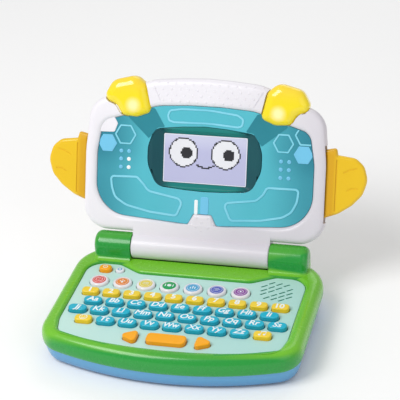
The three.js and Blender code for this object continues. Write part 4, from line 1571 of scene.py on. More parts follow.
@dataclass
class Keyboard:
    """The plate and every key and button on it, with their printed signs."""

    shop: Workshop
    trees: Trees
    place: Place
    plate: Outline
    letter_cap: tuple[float, float, float] = (16.8, 9.4, 4.6)
    number_cap: tuple[float, float, float] = (15.6, 8.8, 3.4)
    pitch: float = 20.0
    clearance: float = 0.5
    button_radius: float = 8.6
    button_top: float = 33.6
    finishes: dict[str, bpy.types.Material] = field(default_factory=dict)
    enter: tuple[Corner, ...] = ((-17.5, -42.4, 4), (-17.5, -55.2, 4.5), (17.5, -55.2, 4.5), (17.5, -42.4, 4))
    arrow: tuple[Corner, ...] = ((26, -39.4, 3), (26, -57.6, 3), (42.4, -49.2, 3.4))
    rows: tuple[tuple[str, str], ...] = (
        ("letter_keys_a_to_i", "ABCDEFGHI"),
        ("letter_keys_j_to_s", "JKLMNOPQRS"),
        ("letter_keys_t_to_z", "TUVWXYZ"),
    )

    def middle(self, node: str) -> tuple[float, float]:
        """The middle of a node in plan, in working millimetres."""
        low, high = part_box(node)
        centre = ((low + high) / 2 - self.place.origin) * 1000
        return centre.x, centre.y

    def row_centres(self, node: str, count: int) -> list[tuple[float, float]]:
        """The centres of the caps of a letter row."""
        x, y = self.middle(node)
        return [(x + (i - (count - 1) / 2) * self.pitch, y) for i in range(count)]

    @staticmethod
    def cap_outline(x: float, y: float, size: tuple[float, float, float]) -> Outline:
        """A cap's outline about its centre."""
        width, depth, radius = size
        return Outline.box(x - width / 2, y - depth / 2, x + width / 2, y + depth / 2, radius)

    def build(self) -> None:
        """Makes the plate and everything on it."""
        self.finishes = {
            "teal": TwoTone("teal_caps", Hue.TEAL, Hue.TEAL_TOP, KEY_TOP).material(),
            "yellow": TwoTone("yellow_caps", Hue.YELLOW, Hue.YELLOW_TOP, KEY_TOP).material(),
            "orange": TwoTone("orange_caps", Hue.ORANGE, Hue.ORANGE_TOP, KEY_TOP, 0.36).material(),
            "white": Moulded("white_buttons", Hue.WHITE, Hue.WHITE_DEEP, 0.24, 0.4).material(),
            "print": Moulded("white_print", Hue.PRINT_WHITE, None, 0.4, 0.1).material(),
        }
        self._plate()
        self._letters()
        self._numbers()
        self._mode_buttons()
        self._shaped_keys()
        self._small_buttons()

    def _plate(self) -> None:
        """The mint plate, with a hole for each key and slots for the sound."""
        gap = self.clearance
        holes = []
        for node, letters in self.rows:
            centres = self.row_centres(node, len(letters))
            holes += [self.cap_outline(x, y, self.letter_cap).inset(-gap) for x, y in centres]
        singles = [f"number_key_{i}" for i in range(1, 11)] + ["smile_key", "music_key"]
        holes += [self.cap_outline(*self.middle(n), self.number_cap).inset(-gap) for n in singles]
        radius = self.button_radius + gap
        holes += [Outline.circle(*self.middle(f"mode_button_{i}"), radius) for i in range(1, 8)]
        holes += [Outline.rounded(self.enter).inset(-gap), Outline.rounded(self.arrow).inset(-gap)]
        holes += [Outline.rounded(self.arrow).inset(-gap).flipped()]
        holes += [self.cap_outline(*self.middle("power_button"), (11.6, 8.6, 4.0)).inset(-gap)]
        holes += [Outline.circle(*self.middle("volume_button"), 4.1 + gap, 24)]
        holes += self.sound_slots()
        plate = filled("keyboard_plate", self.plate, holes, PLATE_FOOT, PLATE_TOP, 0.28)
        # Painted shade: the plate is painted darker towards the front right, away from the key light.
        shade_slope = Vector((0.8, -0.6, 0))
        finish = Blend(
            "mint_plate", Hue.MINT, Hue.MINT_DEEP, shade_slope, self.place.origin, -70, 95, 0.42, 0.12
        )
        self.shop.place(plate, self.place, finish.material())
        self.shop.fit(plate, "base", "plate_mint", ["keyboard_faceplate"])

    @staticmethod
    def sound_slots() -> list[Outline]:
        """The slanted slots over the loudspeaker, in rows that drop a little to the right."""
        slant, pitch, split = 0.68, 6.9, 3.0
        long_way = Outline.box(-3.3, -0.85, 3.3, 0.85, 0.8)
        c, s = math.cos(slant), math.sin(slant)
        slot = Outline(long_way.points @ np.array([[c, s], [-s, c]]))
        rows = [(71, 55, 3, 3), (65, 49.2, 4, 3), (66, 43, 4, 2), (66.6, 37.2, 4, 1), (70.6, 31.4, 3, 3)]
        return [
            slot.moved(x + i * pitch + (split if i >= split_at else 0.0), y - i)
            for x, y, count, split_at in rows
            for i in range(count)
        ]

    def _caps(
        self, name: str, size: tuple[float, float, float], first: tuple[float, float], count: int
    ) -> bpy.types.Object:
        """A row of equal caps at the keyboard's pitch."""
        width, depth, radius = size
        outline = Outline.box(-width / 2, -depth / 2, width / 2, depth / 2, radius)
        cap = Solid.slab(outline, KEY_FOOT, KEY_TOP, 1.35).thing("cap")
        made = self.trees.row.build(
            name,
            {"Piece": cap, "Count": count, "First place": (*first, 0.0), "Pitch": (self.pitch, 0.0, 0.0)},
        )
        bpy.data.objects.remove(cap)
        return made

    def _letters(self) -> None:
        """The letter keys, row by row, and the letters on them."""
        for node, letters in self.rows:
            centres = self.row_centres(node, len(letters))
            caps = self._caps(f"caps_{node[12:]}", self.letter_cap, centres[0], len(letters))
            self.shop.place(caps, self.place, self.finishes["teal"])
            self.shop.fit(caps, node, "key_teal", [node])
            signs = Solid()
            for (x, y), letter in zip(centres, letters):
                word = lettering(letter + letter.lower(), 6.2, 13.4, INLAY + 0.04, 0.2)
                signs = signs + word.moved(x, y, KEY_TOP - 0.04)
            self._signs(f"signs_{node[12:]}", signs, node, "key_teal", bold=0.5)

    def _signs(
        self, name: str, solid: Solid, body: str, slot: str, finish: str = "print", bold: float = 0.0
    ) -> None:
        """Puts printed signs on a key, with their strokes widened by a bold amount."""
        thing = solid.moved(-bold / 2, 0, 0).thing(name)
        if bold:
            shifts = ((bold / 2, 0), (0, bold / 2.4), (0, -bold / 2.4))
            self.shop.work(thing, *((Joining.ADD, solid.moved(x, y, 0)) for x, y in shifts))
        self.shop.place(thing, self.place, self.finishes[finish])
        self.shop.fit(thing, body, slot)

    def _numbers(self) -> None:
        """The yellow keys: the numbers, the smile and the notes."""
        for i in range(1, 11):
            node = f"number_key_{i}"
            x, y = self.middle(node)
            self._single(node, self.cap_outline(x, y, self.number_cap), "yellow", "key_yellow", 1.35)
            word = lettering(str(i), 6.3, 11.0, INLAY + 0.04, 0.0)
            self._signs(f"number_{i}", word.moved(x, y, KEY_TOP - 0.04), node, "key_yellow", bold=0.6)
        for node, sign in (("smile_key", self._smile()), ("music_key", self._notes())):
            x, y = self.middle(node)
            self._single(node, self.cap_outline(x, y, self.number_cap), "yellow", "key_yellow", 1.35)
            self._signs(f"{node}_sign", sign.moved(x, y, KEY_TOP - 0.04), node, "key_yellow")

    def _single(
        self, node: str, outline: Outline, finish: str, slot: str, edge: float, top: float = KEY_TOP
    ) -> None:
        """A key of its own."""
        cap = Solid.slab(outline, KEY_FOOT, top, edge).thing(f"cap_{node}")
        self.shop.place(cap, self.place, self.finishes[finish])
        self.shop.fit(cap, node, slot, [node])

    @staticmethod
    def _smile() -> Solid:
        """A round smiling face in lines."""
        ring = Solid.ribbon(Outline.circle(0, 0, 3.3, 32), 0.6, 0.0, INLAY + 0.04)
        eyes = Solid.slab(Outline.circle(-1.2, 0.9, 0.45, 12), 0.0, INLAY + 0.04)
        mouth = Outline([*Outline.arc((0, 0), 2.0, math.radians(205), math.radians(335), 0.2),
                         *Outline.arc((0, 0), 1.45, math.radians(335), math.radians(205), 0.2)])
        return ring + eyes + eyes.moved(2.4, 0, 0) + Solid.slab(mouth, 0.0, INLAY + 0.04)

    @staticmethod
    def _notes() -> Solid:
        """Two joined notes."""
        high = INLAY + 0.04
        heads = Solid.slab(Outline.circle(-2.3, -2.0, 1.15, 16), 0.0, high)
        stem = Solid.slab(Outline.box(-1.6, -2.0, -1.1, 2.4), 0.0, high)
        beam = Solid.slab(Outline([(-1.6, 2.0), (2.9, 2.8), (2.9, 3.8), (-1.6, 3.0)]), 0.0, high)
        return heads + heads.moved(4.2, 0.6, 0) + stem + stem.moved(4.2, 0.7, 0) + beam

    def _mode_buttons(self) -> None:
        """The round buttons: a white body, a coloured disc and a small white picture."""
        profile = [
            (self.button_radius - 0.1, KEY_FOOT), (self.button_radius, 29.0), (self.button_radius, 32.2),
            (8.3, 32.9), (7.8, 33.35), (7.1, self.button_top), (6.5, self.button_top - 0.05), (6.2, 33.3),
        ]
        for i, (colour, icon) in enumerate(zip(Disc, Icon), start=1):
            node = f"mode_button_{i}"
            x, y = self.middle(node)
            body = Solid.turned(profile, 56).moved(x, y, 0).thing(f"button_{i}")
            self.shop.place(body, self.place, self.finishes["white"])
            self.shop.fit(body, node, "button_white", [node])
            disc = Solid.turned([(6.1, 33.2), (6.1, 33.45), (5.7, 33.62), (4.0, 33.7), (0.6, 33.72)], 48)
            face = disc.moved(x, y, 0).thing(f"disc_{i}")
            finish = Moulded(f"{colour.name.lower()}_disc", colour, None, 0.28, 0.3).material()
            self.shop.place(face, self.place, finish)
            self.shop.fit(face, node, "button_white")
            self._signs(f"picture_{i}", self._picture(icon).moved(x, y, 33.68), node, "button_white")

    @staticmethod
    def _picture(icon: Icon) -> Solid:
        """One button's picture, as flat shapes."""
        high = INLAY

        def bar(x0: float, y0: float, x1: float, y1: float) -> Solid:
            """A flat bar."""
            return Solid.slab(Outline.box(x0, y0, x1, y1, 0.25), 0.0, high)

        def dot(x: float, y: float, radius: float) -> Solid:
            """A flat dot."""
            return Solid.slab(Outline.circle(x, y, radius, 16), 0.0, high)

        rim = Solid.ribbon(Outline.circle(0, 0, 5.0, 40), 0.28, 0.0, high)
        if icon is Icon.BOOK:
            cover = Solid.ribbon(Outline.box(-2.9, -2.0, 2.9, 2.0, 0.6), 0.35, 0.0, high)
            return rim + cover + bar(-0.15, -1.7, 0.15, 1.7)
        if icon is Icon.PAW:
            toes = dot(-1.9, 0.7, 0.6) + dot(0, 1.7, 0.65) + dot(1.9, 0.7, 0.6)
            return rim + toes + dot(0, -1.1, 1.2)
        if icon is Icon.LINES:
            return rim + bar(-2.9, 1.2, 2.9, 1.6) + bar(-2.9, -0.2, 2.9, 0.2) + bar(-2.9, -1.6, 2.9, -1.2)
        if icon is Icon.PLATE:
            return dot(0, 0, 1.9) + bar(-3.9, -1.8, -3.2, 1.8) + bar(3.2, -1.8, 3.9, 1.8)
        if icon is Icon.BARS:
            return rim + bar(-2.4, -2.0, -1.6, 0.2) + bar(-0.4, -2.0, 0.4, 2.2) + bar(1.6, -2.0, 2.4, 1.0)
        if icon is Icon.WAVES:
            return rim + bar(-3.2, 1.3, 1.6, 1.7) + bar(-1.6, -0.2, 3.2, 0.2) + bar(-3.2, -1.7, 1.6, -1.3)
        return rim + Solid.ribbon(Outline.circle(0, 0, 2.6, 24), 0.35, 0.0, high) + dot(0, 0, 0.9)

    def _shaped_keys(self) -> None:
        """The orange enter bar and the two arrow keys."""
        right = Outline.rounded(self.arrow)
        self._single("enter_key", Outline.rounded(self.enter), "orange", "key_orange", 1.2)
        self._single("arrow_key_right", right, "orange", "key_orange", 1.2)
        self._single("arrow_key_left", right.flipped(), "orange", "key_orange", 1.2)

    def _small_buttons(self) -> None:
        """The power button and the volume button."""
        x, y = self.middle("power_button")
        self._single("power_button", self.cap_outline(x, y, (11.6, 8.6, 4.0)), "orange", "key_orange", 1.6)
        open_ring = Outline([*Outline.arc((0, 0), 2.3, math.radians(125), math.radians(415), 0.15),
                             *Outline.arc((0, 0), 1.75, math.radians(415), math.radians(125), 0.15)])
        stem = Outline.box(-0.28, 0.2, 0.28, 2.5, 0.2)
        sign = Solid.slab(open_ring, 0.0, 0.16) + Solid.slab(stem, 0.0, 0.16)
        self._signs("power_sign", sign.moved(x, y, KEY_TOP - 0.04), "power_button", "key_orange")
        x, y = self.middle("volume_button")
        profile = [(4.05, KEY_FOOT), (4.1, 29), (4.1, 32.0), (3.8, 32.6), (3.2, 32.9), (2.2, 33.0)]
        body = Solid.turned(profile, 36).moved(x, y, 0).thing("button_volume")
        self.shop.place(body, self.place, self.finishes["white"])
        self.shop.fit(body, "volume_button", "button_white", ["volume_button"])
        self.finishes["ink"] = Moulded("blue_print", Disc.SKY, None, 0.35, 0.2).material()
        ring = Solid.ribbon(Outline.circle(0, 0, 1.7, 24), 0.9, 0.0, INLAY)
        self._signs("volume_sign", ring.moved(x, y, 32.95), "volume_button", "button_white", "ink")


# ---- The lid ----

TROUGH_SIDES = 96
SCREW_SPOTS = tuple((x, s) for s in (40, 112) for x in (-90.0, 90.0))


@dataclass
class Lid:
    """The white lid: its two shells, the face panel with its raised pattern, and the lamps and ears."""

    shop: Workshop
    trees: Trees
    place: Place
    half_width: float = 113.3
    foot_s: float = 13.2
    seam_n: float = -3.0
    back_n: float = -12.0
    crest_n: float = 4.6
    panel_n: float = 1.9
    barrel_radius: float = 11.7
    barrel_half: float = 64.5
    knuckle_room: float = 13.1
    ear_pivot: float = 106.6
    ear_n: float = -3.0
    centre: tuple[float, float] = (0.0, 80.0)
    corners: tuple[Corner, ...] = (
        (113.3, 13.2, 24), (113.3, 88, 60), (108.6, 131, 22), (50, 154.4, 44), (0, 158.4, 260),
    )
    panel_corners: tuple[Corner, ...] = (
        (8.6, 34, 2.4), (13.5, 24, 3), (100.8, 29.6, 30), (100.8, 86, 40),
        (96, 114, 12), (76, 120, 16), (45, 130.5, 40), (0, 133.2, 240),
    )
    bezel_corners: tuple[Corner, ...] = (
        (0, 54.2, 240), (44, 57.5, 12), (53, 77, 24), (53, 93, 22), (47.5, 109.5, 10), (0, 115.2, 180),
    )
    lamp_corners: tuple[Corner, ...] = (
        (50.5, 124.6, 5), (64, 119.2, 12), (78.5, 120.2, 8), (84, 130, 10),
        (97.5, 134.5, 7), (88, 152, 12), (66, 157.5, 11), (56, 149, 8),
    )
    ear_corners: tuple[Corner, ...] = (
        (110.4, 38, 1), (124, 43.2, 16), (136, 51.5, 16), (145, 61.5, 14), (149.2, 75, 16), (145.5, 87.5, 12),
        (137.5, 94.3, 10), (121.2, 96.2, 1.5), (120.4, 102.6, 2.4), (110.4, 100.4, 1),
    )
    finishes: dict[str, bpy.types.Material] = field(default_factory=dict)

    def build(self) -> None:
        """Makes every piece of the lid."""
        here = self.place
        # Painted light: the white shell is painted lighter towards the upper left and darker towards the
        # lower right, as the key light falls.
        shade_slope = here.across * 0.8 - here.along * 0.6
        self.finishes = {
            "white": Blend(
                "lid_white_shell", Hue.WHITE, Hue.WHITE_DEEP, shade_slope, here.origin, -95, 45, 0.3, 0.15
            ).material(),
            "blue": Moulded("print_blue", Hue.PRINT_BLUE, None, 0.35, 0.15).material(),
            "pale": Moulded("print_white", Hue.PRINT_WHITE, None, 0.35, 0.15).material(),
            "beam": Moulded("beam_teal", Hue.BEAM, Hue.BEAM_DEEP, 0.28, 0.3).material(),
            "rim": Moulded("rim_blue", Hue.RIM, Hue.FILL_BLUE, 0.3, 0.1, cloud=40.0).material(),
        }
        self._front()
        self._back()
        self._panel()
        self._pattern()
        self._bezel()
        self._display()
        for name, side in (("left", -1), ("right", 1)):
            self._lamp(name, side)
            self._ear(name, side)

    def _side(self, solid: Solid, side: int) -> Solid:
        """A right-hand solid, mirrored for the left side."""
        return solid if side > 0 else solid.flipped()

    def _openings(self) -> list[tuple[Joining, Solid]]:
        """The cuts that both shells share: the lamps' notches, the ears' slots and the knuckles' room."""
        lamp = Solid.slab(Outline.rounded(self.lamp_corners).inset(-0.5), -25, 25)
        reach = 3.5 + math.sin(math.radians(12)) * 8 + 0.5
        inner = self.ear_pivot - 3.3
        mouth = Outline.box(inner, 34.2, self.half_width + 6, 104.2)
        slot = Solid.slab(mouth, self.ear_n - reach, self.ear_n + reach)
        room = Solid.bar(self.knuckle_room, 64.5, 130, 0, 0, TROUGH_SIDES)
        return [(Joining.CUT, self._side(s, side)) for s in (lamp, slot, room) for side in (-1, 1)]

    def _front(self) -> None:
        """The front shell: a rolled white border round the panel's pocket, and the hinge barrel."""
        lid, panel = Outline.mirrored(self.corners), Outline.mirrored(self.panel_corners)
        rays = shared_rays(self.centre, lid, panel)
        outer = [
            (0.0, -3.0), (0.1, -1.0), (0.45, 0.9), (1.2, 2.4), (2.4, 3.6), (4.2, 4.35), (6.6, 4.6),
        ]
        pocket = [
            (-4.5, 4.5), (-3.2, 4.2), (-2.1, 3.7), (-1.2, 3.0), (-0.6, 2.3), (-0.4, 1.6),
            (-0.4, -0.4), (2.0, -0.4), (2.0, -2.0),
        ]
        levels = [(lid.inset(d).on_rays(self.centre, rays), n) for d, n in outer]
        levels += [(panel.on_rays(self.centre, rays, d), n) for d, n in pocket]
        levels += [(lid.inset(2.6).on_rays(self.centre, rays), n) for n in (-2.2, -3.0)]
        shell = Solid.loft(levels, ring=True).thing("lid_front")
        half = self.barrel_half
        neck = Solid.slab(Outline.box(-half, 0, half, 24, 0.6), -3.0, 4.55, 0.4)
        back_neck = Solid.slab(Outline.box(-half, 0, half, self.foot_s - 0.35, 0.6), -11.6, -2.0, 0, 1.2)
        barrel = Solid.bar(self.barrel_radius, -half, half, 0, 0, TROUGH_SIDES)
        bores = Solid.bar(3.0, -half - 1, half + 1, 0, 0, 24)
        seams = (
            Outline([(-39.6, 129), (-38.8, 129), (-48.6, 151), (-49.4, 151)]),
            Outline([(40.8, 129), (41.6, 129), (54.6, 151), (53.8, 151)]),
        )
        self.shop.work(
            shell,
            (Joining.ADD, neck),
            (Joining.ADD, back_neck),
            (Joining.ADD, barrel),
            *((Joining.CUT, Solid.slab(seam, 4.1, 9)) for seam in seams),
            *self._openings(),
            (Joining.CUT, bores),
        )
        self.shop.place(shell, self.place, self.finishes["white"])
        self.shop.fit(shell, "lid", "lid_white", ["lid_front_shell"])
        self._grip(shell)

    def _grip(self, shell: bpy.types.Object) -> None:
        """The small round bumps on the border's top and on its lower tab, set on the shell's own surface."""
        spots = [
            (-4.9, 30.4), (0.0, 26.7), (5.5, 30.5), (10.7, 25.7), (6.0, 22.0), (0.2, 19.2),
            (-5.2, 22.4), (-10.4, 26.0),
        ]
        for line in range(4):
            s = 136.5 + 5.2 * line
            half = 41.0 + 0.72 * (s - 131.5)
            shift = 4.0 * (line % 2)
            spots += [(x, s) for x in (i * 8.0 + shift for i in range(-8, 9)) if abs(x + 0.5) < half - 1]
        surface = BVHTree.FromObject(shell, bpy.context.evaluated_depsgraph_get())
        marks = []
        for x, s in spots:
            hit = surface.ray_cast(self.place.point(x, s, 20.0), -self.place.out)[0]
            if hit is not None:
                marks.append((x, s, (hit - self.place.origin).dot(self.place.out) / MM, 0.0))
        bump = Solid.turned([(1.15, -0.5), (1.1, 0.05), (0.8, 0.32), (0.2, 0.4)], 16).thing("bump")
        held = marks_object("bump_marks", marks)
        bumps = self.trees.marks.build("grip_bumps", {"Piece": bump, "Marks": held})
        for spare in (bump, held):
            bpy.data.objects.remove(spare)
        self.shop.place(bumps, self.place, self.finishes["white"])
        self.shop.fit(bumps, "lid", "lid_white")

    def _back(self) -> None:
        """The back shell: rounded, with a border groove and a moulded honeycomb in the middle."""
        lid = Outline.mirrored(self.corners)
        seam = self.seam_n - 0.35
        outside = [
            (7.4, -12.0), (5.4, -11.7), (3.7, -11.0), (2.2, -9.7), (1.1, -7.9), (0.4, -5.7), (0.0, seam),
        ]
        inside = [(2.2, seam), (2.4, -5.7), (3.4, -8.2), (6.0, -9.8)]
        levels = [(lid.inset(d), n) for d, n in outside + inside]
        shell = Solid.loft(levels).thing("lid_back")
        groove = Solid.ribbon(lid.inset(16), 1.6, -12.6, -11.45)
        cells = Solid()
        around = [(x, s, 13) for s in (72.6, 111.4) for x in (-33.6, 33.6)]
        for x, s, radius in ((0, 92, 21), *around):
            cells = cells + Solid.ribbon(Outline.hexagon(x, s, radius, 2.0), 1.5, -12.6, -11.5)
        wells = Solid()
        for x, s in SCREW_SPOTS:
            wells = wells + Solid.slab(Outline.circle(x, s, 3.3, 28), -13.0, -10.0)
        cuts = ((Joining.CUT, solid) for solid in (groove, cells, wells))
        self.shop.work(shell, *cuts, *self._openings())
        self.shop.place(shell, self.place, self.finishes["white"])
        self.shop.fit(shell, "lid", "lid_white", ["lid_back_shell"])
        self._lid_screws()

    def _lid_screws(self) -> None:
        """The screws that hold the back shell, sunk in the shell's face."""
        head = Solid.turned([(0.5, -11.5), (2.0, -11.4), (2.6, -11.0), (2.6, -9.9)], 28)
        cross = Solid.slab(Outline.box(-1.5, -0.3, 1.5, 0.3), -13.0, -10.9)
        screw = head.thing("lid_screw")
        self.shop.work(screw, (Joining.CUT, cross), (Joining.CUT, cross.turned_by(math.pi / 2)))
        spots = [(x, s, 0.05, 0.5 + 0.7 * i) for i, (x, s) in enumerate(SCREW_SPOTS)]
        marks = marks_object("lid_screw_marks", spots)
        screws = self.trees.marks.build("lid_screws", {"Piece": screw, "Marks": marks})
        for spare in (screw, marks):
            bpy.data.objects.remove(spare)
        self.shop.place(screws, self.place, BrushedSteel("lid_screw_steel").material())
        self.shop.fit(screws, "lid", "steel")

    def _panel(self) -> None:
        """The teal panel inside the white border, open round the display and at the lamps."""
        panel = Outline.mirrored(self.panel_corners)
        bezel = Outline.mirrored(self.bezel_corners)
        plate = filled("teal_panel", panel, [bezel.inset(-0.4)], self.panel_n - 2.0, self.panel_n, 0.2)
        lamp = Solid.slab(Outline.rounded(self.lamp_corners).inset(-0.5), -25, 25)
        self.shop.work(plate, (Joining.CUT, lamp), (Joining.CUT, lamp.flipped()))
        film = PanelFilm("teal_film", self.place.across, self.place.along, self.place.origin)
        self.shop.place(plate, self.place, film.material())
        self.shop.fit(plate, "lid", "panel_teal", ["face_panel"])

    def _relief(self, name: str, solid: Solid, finish: str, window: Solid | None = None) -> None:
        """Puts a raised feature on the panel, kept within a window if there is one."""
        thing = solid.thing(name)
        if window is not None:
            self.shop.work(thing, (Joining.KEEP, window))
        self.shop.place(thing, self.place, self.finishes[finish])
        self.shop.fit(thing, "lid", "panel_teal")

    def _raised(
        self, corners: Sequence[Corner], high: float, edge: float = 0.5, low: float | None = None
    ) -> Solid:
        """A raised plate on the panel."""
        base = self.panel_n - 0.3 if low is None else low
        return Solid.slab(Outline.rounded(corners), base, self.panel_n + high, edge)

    def _pattern(self) -> None:
        """The raised beams, hexagons, dots and bars round the display."""
        left = [(-75, 121.5, 3), (-48, 129, 3), (-37.5, 111.6, 1), (-44.5, 111, 4), (-52.6, 100.5, 1)]
        right = [(48, 129, 3), (79, 121, 3), (52.4, 99.5, 1), (44.5, 111, 4), (37.5, 111.6, 1)]
        beams = self._raised(left, 0.25, 0.12) + self._raised(right, 0.25, 0.12)
        self._relief("panel_beams", beams, "beam")
        step = self._raised(
            [(-103.5, 102.2, 1), (-99.5, 103.9, 1), (-85.2, 104.4, 2), (-82.2, 112.4, 1.5),
             (-86.2, 119.4, 1.5), (-76.5, 123.6, 1), (-82, 131, 1), (-101, 121, 4)], 0.7, 0.5
        )
        self._relief("corner_step", step, "white")
        slot = [
            (-35.1, 122.6, 3), (-33.4, 127.2, 3), (-22.3, 129.1, 5), (3.7, 129.3, 60), (29.5, 126.4, 6),
            (34.8, 123.1, 3), (34, 116.8, 3), (30, 115.6, 3), (4.2, 117.4, 80), (-29.3, 116.7, 4),
            (-34, 118.2, 2),
        ]
        rim = Solid.ribbon(Outline.rounded(slot), 1.7, self.panel_n - 0.3, self.panel_n + 0.5)
        self._relief("top_slot_rim", rim, "rim")
        low, high = self.panel_n - 0.3, self.panel_n + 0.5
        window = Solid.slab(Outline.mirrored(self.panel_corners).inset(0.3), -5, 20)
        cells = Solid.slab(Outline.hexagon(-91.5, 94, 9), low, high, 0.4)
        cells = cells + Solid.slab(Outline.hexagon(91.0, 94.5, 9), low, high, 0.4)
        self._relief("hexagon_cells", cells, "blue", window)
        rings = Solid()
        for x, s, radius in ((-74.6, 102.7, 9.5), (72.4, 103.8, 9.0), (92.5, 112.0, 9.5)):
            rings = rings + Solid.ribbon(Outline.hexagon(x, s, radius), 1.4, low, high)
        self._relief("hexagon_rings", rings, "rim", window)
        self._dots()
        self._trapezoids()
        bars = self._raised([(-7.7, 33.6, 1), (-4.5, 33.6, 1), (-4.5, 47, 1), (-7.7, 47, 1)], 0.3, 0.15)
        self._relief("white_bar", bars, "pale")
        bars = self._raised([(-2, 34, 1.6), (5.5, 34, 1.6), (5.5, 50, 1.6), (-2, 50, 1.6)], 0.5, 0.4)
        self._relief("blue_bar", bars, "blue")

    def _dots(self) -> None:
        """Two columns of dots beside the display on each side."""
        dot = Solid.turned([(1.85, 1.6), (1.8, 2.25), (1.5, 2.45), (0.4, 2.5)], 24)
        blue, white = Solid(), Solid()
        for side in (-1, 1):
            for x in (78.3, 70.9):
                for i, s in enumerate((87.5, 80.2, 72.6)):
                    spot = dot.moved(side * x, s, 0)
                    if side < 0 and i > 0 and x == 70.9:
                        white = white + spot
                    else:
                        blue = blue + spot
        self._relief("blue_dots", blue, "blue")
        self._relief("white_dots", white, "pale")

    def _trapezoids(self) -> None:
        """The raised flaps under the display, one to each side."""
        left = [
            (-87.6, 63.5, 3), (-62.6, 64.3, 4), (-55.7, 57.4, 8), (-51.8, 52.1, 8),
            (-18.4, 46.2, 5), (-24.5, 30.9, 4),
            (-49.3, 32.8, 30), (-72.4, 37.6, 20), (-83.2, 44.3, 10), (-86.3, 53.3, 20),
        ]
        right = [
            (19.1, 45.8, 4), (49.5, 50.2, 8), (55.7, 56.1, 8), (59, 62.7, 4), (88.1, 63, 3), (86.9, 51.2, 20),
            (82, 41.7, 10), (74, 36.6, 14), (54, 32.3, 30), (26.3, 30.2, 4),
        ]
        rims = Solid()
        for corners in (left, right):
            rims = rims + Solid.ribbon(Outline.rounded(corners), 1.9, self.panel_n - 0.3, self.panel_n + 0.55)
        self._relief("flap_rims", rims, "rim")

    def _bezel(self) -> None:
        """The funnel round the display: dark at its sides, greener at its top and bottom."""
        outer = Outline.mirrored(self.bezel_corners)
        middle = (0.0, 83.65)
        window = Outline.box(-39.3, 61, 39.3, 106.3, 1.5)
        flare = Outline.box(-48.5, 58.0, 48.5, 109.4, 7)
        rays = shared_rays(middle, outer, window, flare)
        levels = [
            (outer.on_rays(middle, rays, 0.0), -3.6),
            (outer.on_rays(middle, rays, 0.0), 1.2),
            (outer.on_rays(middle, rays, 0.3), 1.65),
            (outer.on_rays(middle, rays, 0.8), 1.8),
            (flare.on_rays(middle, rays, -0.6), 1.8),
            (flare.on_rays(middle, rays, 0.1), 1.5),
            (window.on_rays(middle, rays, -0.9), -0.75),
            (window.on_rays(middle, rays, 0.0), -1.3),
            (window.on_rays(middle, rays, 0.0), -3.6),
        ]
        bezel = Solid.loft(levels, ring=True).thing("display_bezel")
        here = self.place
        finish = Blend(
            "bezel_funnel", Hue.BEZEL_GREEN, Hue.BEZEL, here.across, here.origin, 28, 42, 0.4, 0.05, True
        )
        self.shop.place(bezel, self.place, finish.material(), 28.0)
        self.shop.fit(bezel, "lid", "bezel_teal", ["screen_bezel"])

    def _display(self) -> None:
        """The lavender display with a face drawn in square tiles."""
        pane = Outline.box(-38.95, 61.35, 38.95, 105.95, 1.2)
        glass = Solid.slab(pane, -2.4, -1.1, 0.1).thing("display_glass")
        here = self.place
        tint = Blend(
            "display_lavender", Hue.LCD_PALE, Hue.LCD, here.along, here.origin, 104, 88, 0.12, 0.7
        )
        self.shop.place(glass, self.place, tint.material())
        self.shop.fit(glass, "lid", "window_clear", ["screen_window"])
        frame = Solid.ribbon(Outline.box(-38.5, 61.8, 38.5, 105.5, 0.5), 0.5, -1.14, -1.08)
        eyes = Solid()
        for x in (-20.3, 19.0):
            eyes = eyes + Solid.slab(Outline.circle(x, 89.5, 12.9, 40), -1.14, -1.085)
        line = Moulded("display_line", Hue.PRINT_WHITE, None, 0.3, 0.3)
        self._flat("display_frame", frame, line.material())
        self._flat("display_eyes", eyes, Moulded("display_white", Hue.EYE, None, 0.3, 0.3).material())
        tile = Solid.slab(Outline.box(-0.63, -0.63, 0.63, 0.63), -1.1, -1.05).thing("tile")
        marks = marks_object("tile_marks", [(x, s, 0.0, 0.0) for x, s in self._face_tiles()])
        tiles = self.trees.marks.build("display_tiles", {"Piece": tile, "Marks": marks})
        for spare in (tile, marks):
            bpy.data.objects.remove(spare)
        self.shop.place(tiles, self.place, Moulded("display_ink", Hue.INK, None, 0.3, 0.3).material())
        self.shop.fit(tiles, "lid", "window_clear")

    def _flat(self, name: str, solid: Solid, finish: bpy.types.Material) -> None:
        """Lays a flat sign on the display."""
        thing = solid.thing(name)
        self.shop.place(thing, self.place, finish)
        self.shop.fit(thing, "lid", "window_clear")

    @staticmethod
    def _face_tiles() -> list[tuple[float, float]]:
        """Where the display's dark tiles stand: two round eyes with pupils, brows and a smile."""
        pitch = 1.25
        tiles: list[tuple[float, float]] = []
        for column in range(-30, 31):
            for line in range(-15, 16):
                x, s = column * pitch, 83.5 + line * pitch
                keep = False
                for eye in (-20.3, 19.0):
                    away = math.hypot(x - eye, s - 89.5)
                    pupil = math.hypot(x - eye - 3.0, s - 89.0)
                    keep = keep or 12.5 < away < 13.75 or pupil < 5.4
                mouth = math.hypot(x - 0.4, (s - 90.0) * 1.0)
                keep = keep or (13.0 < mouth < 14.5 and s < 79.6 and abs(x) < 11.5)
                if keep:
                    tiles.append((x, s))
        return tiles

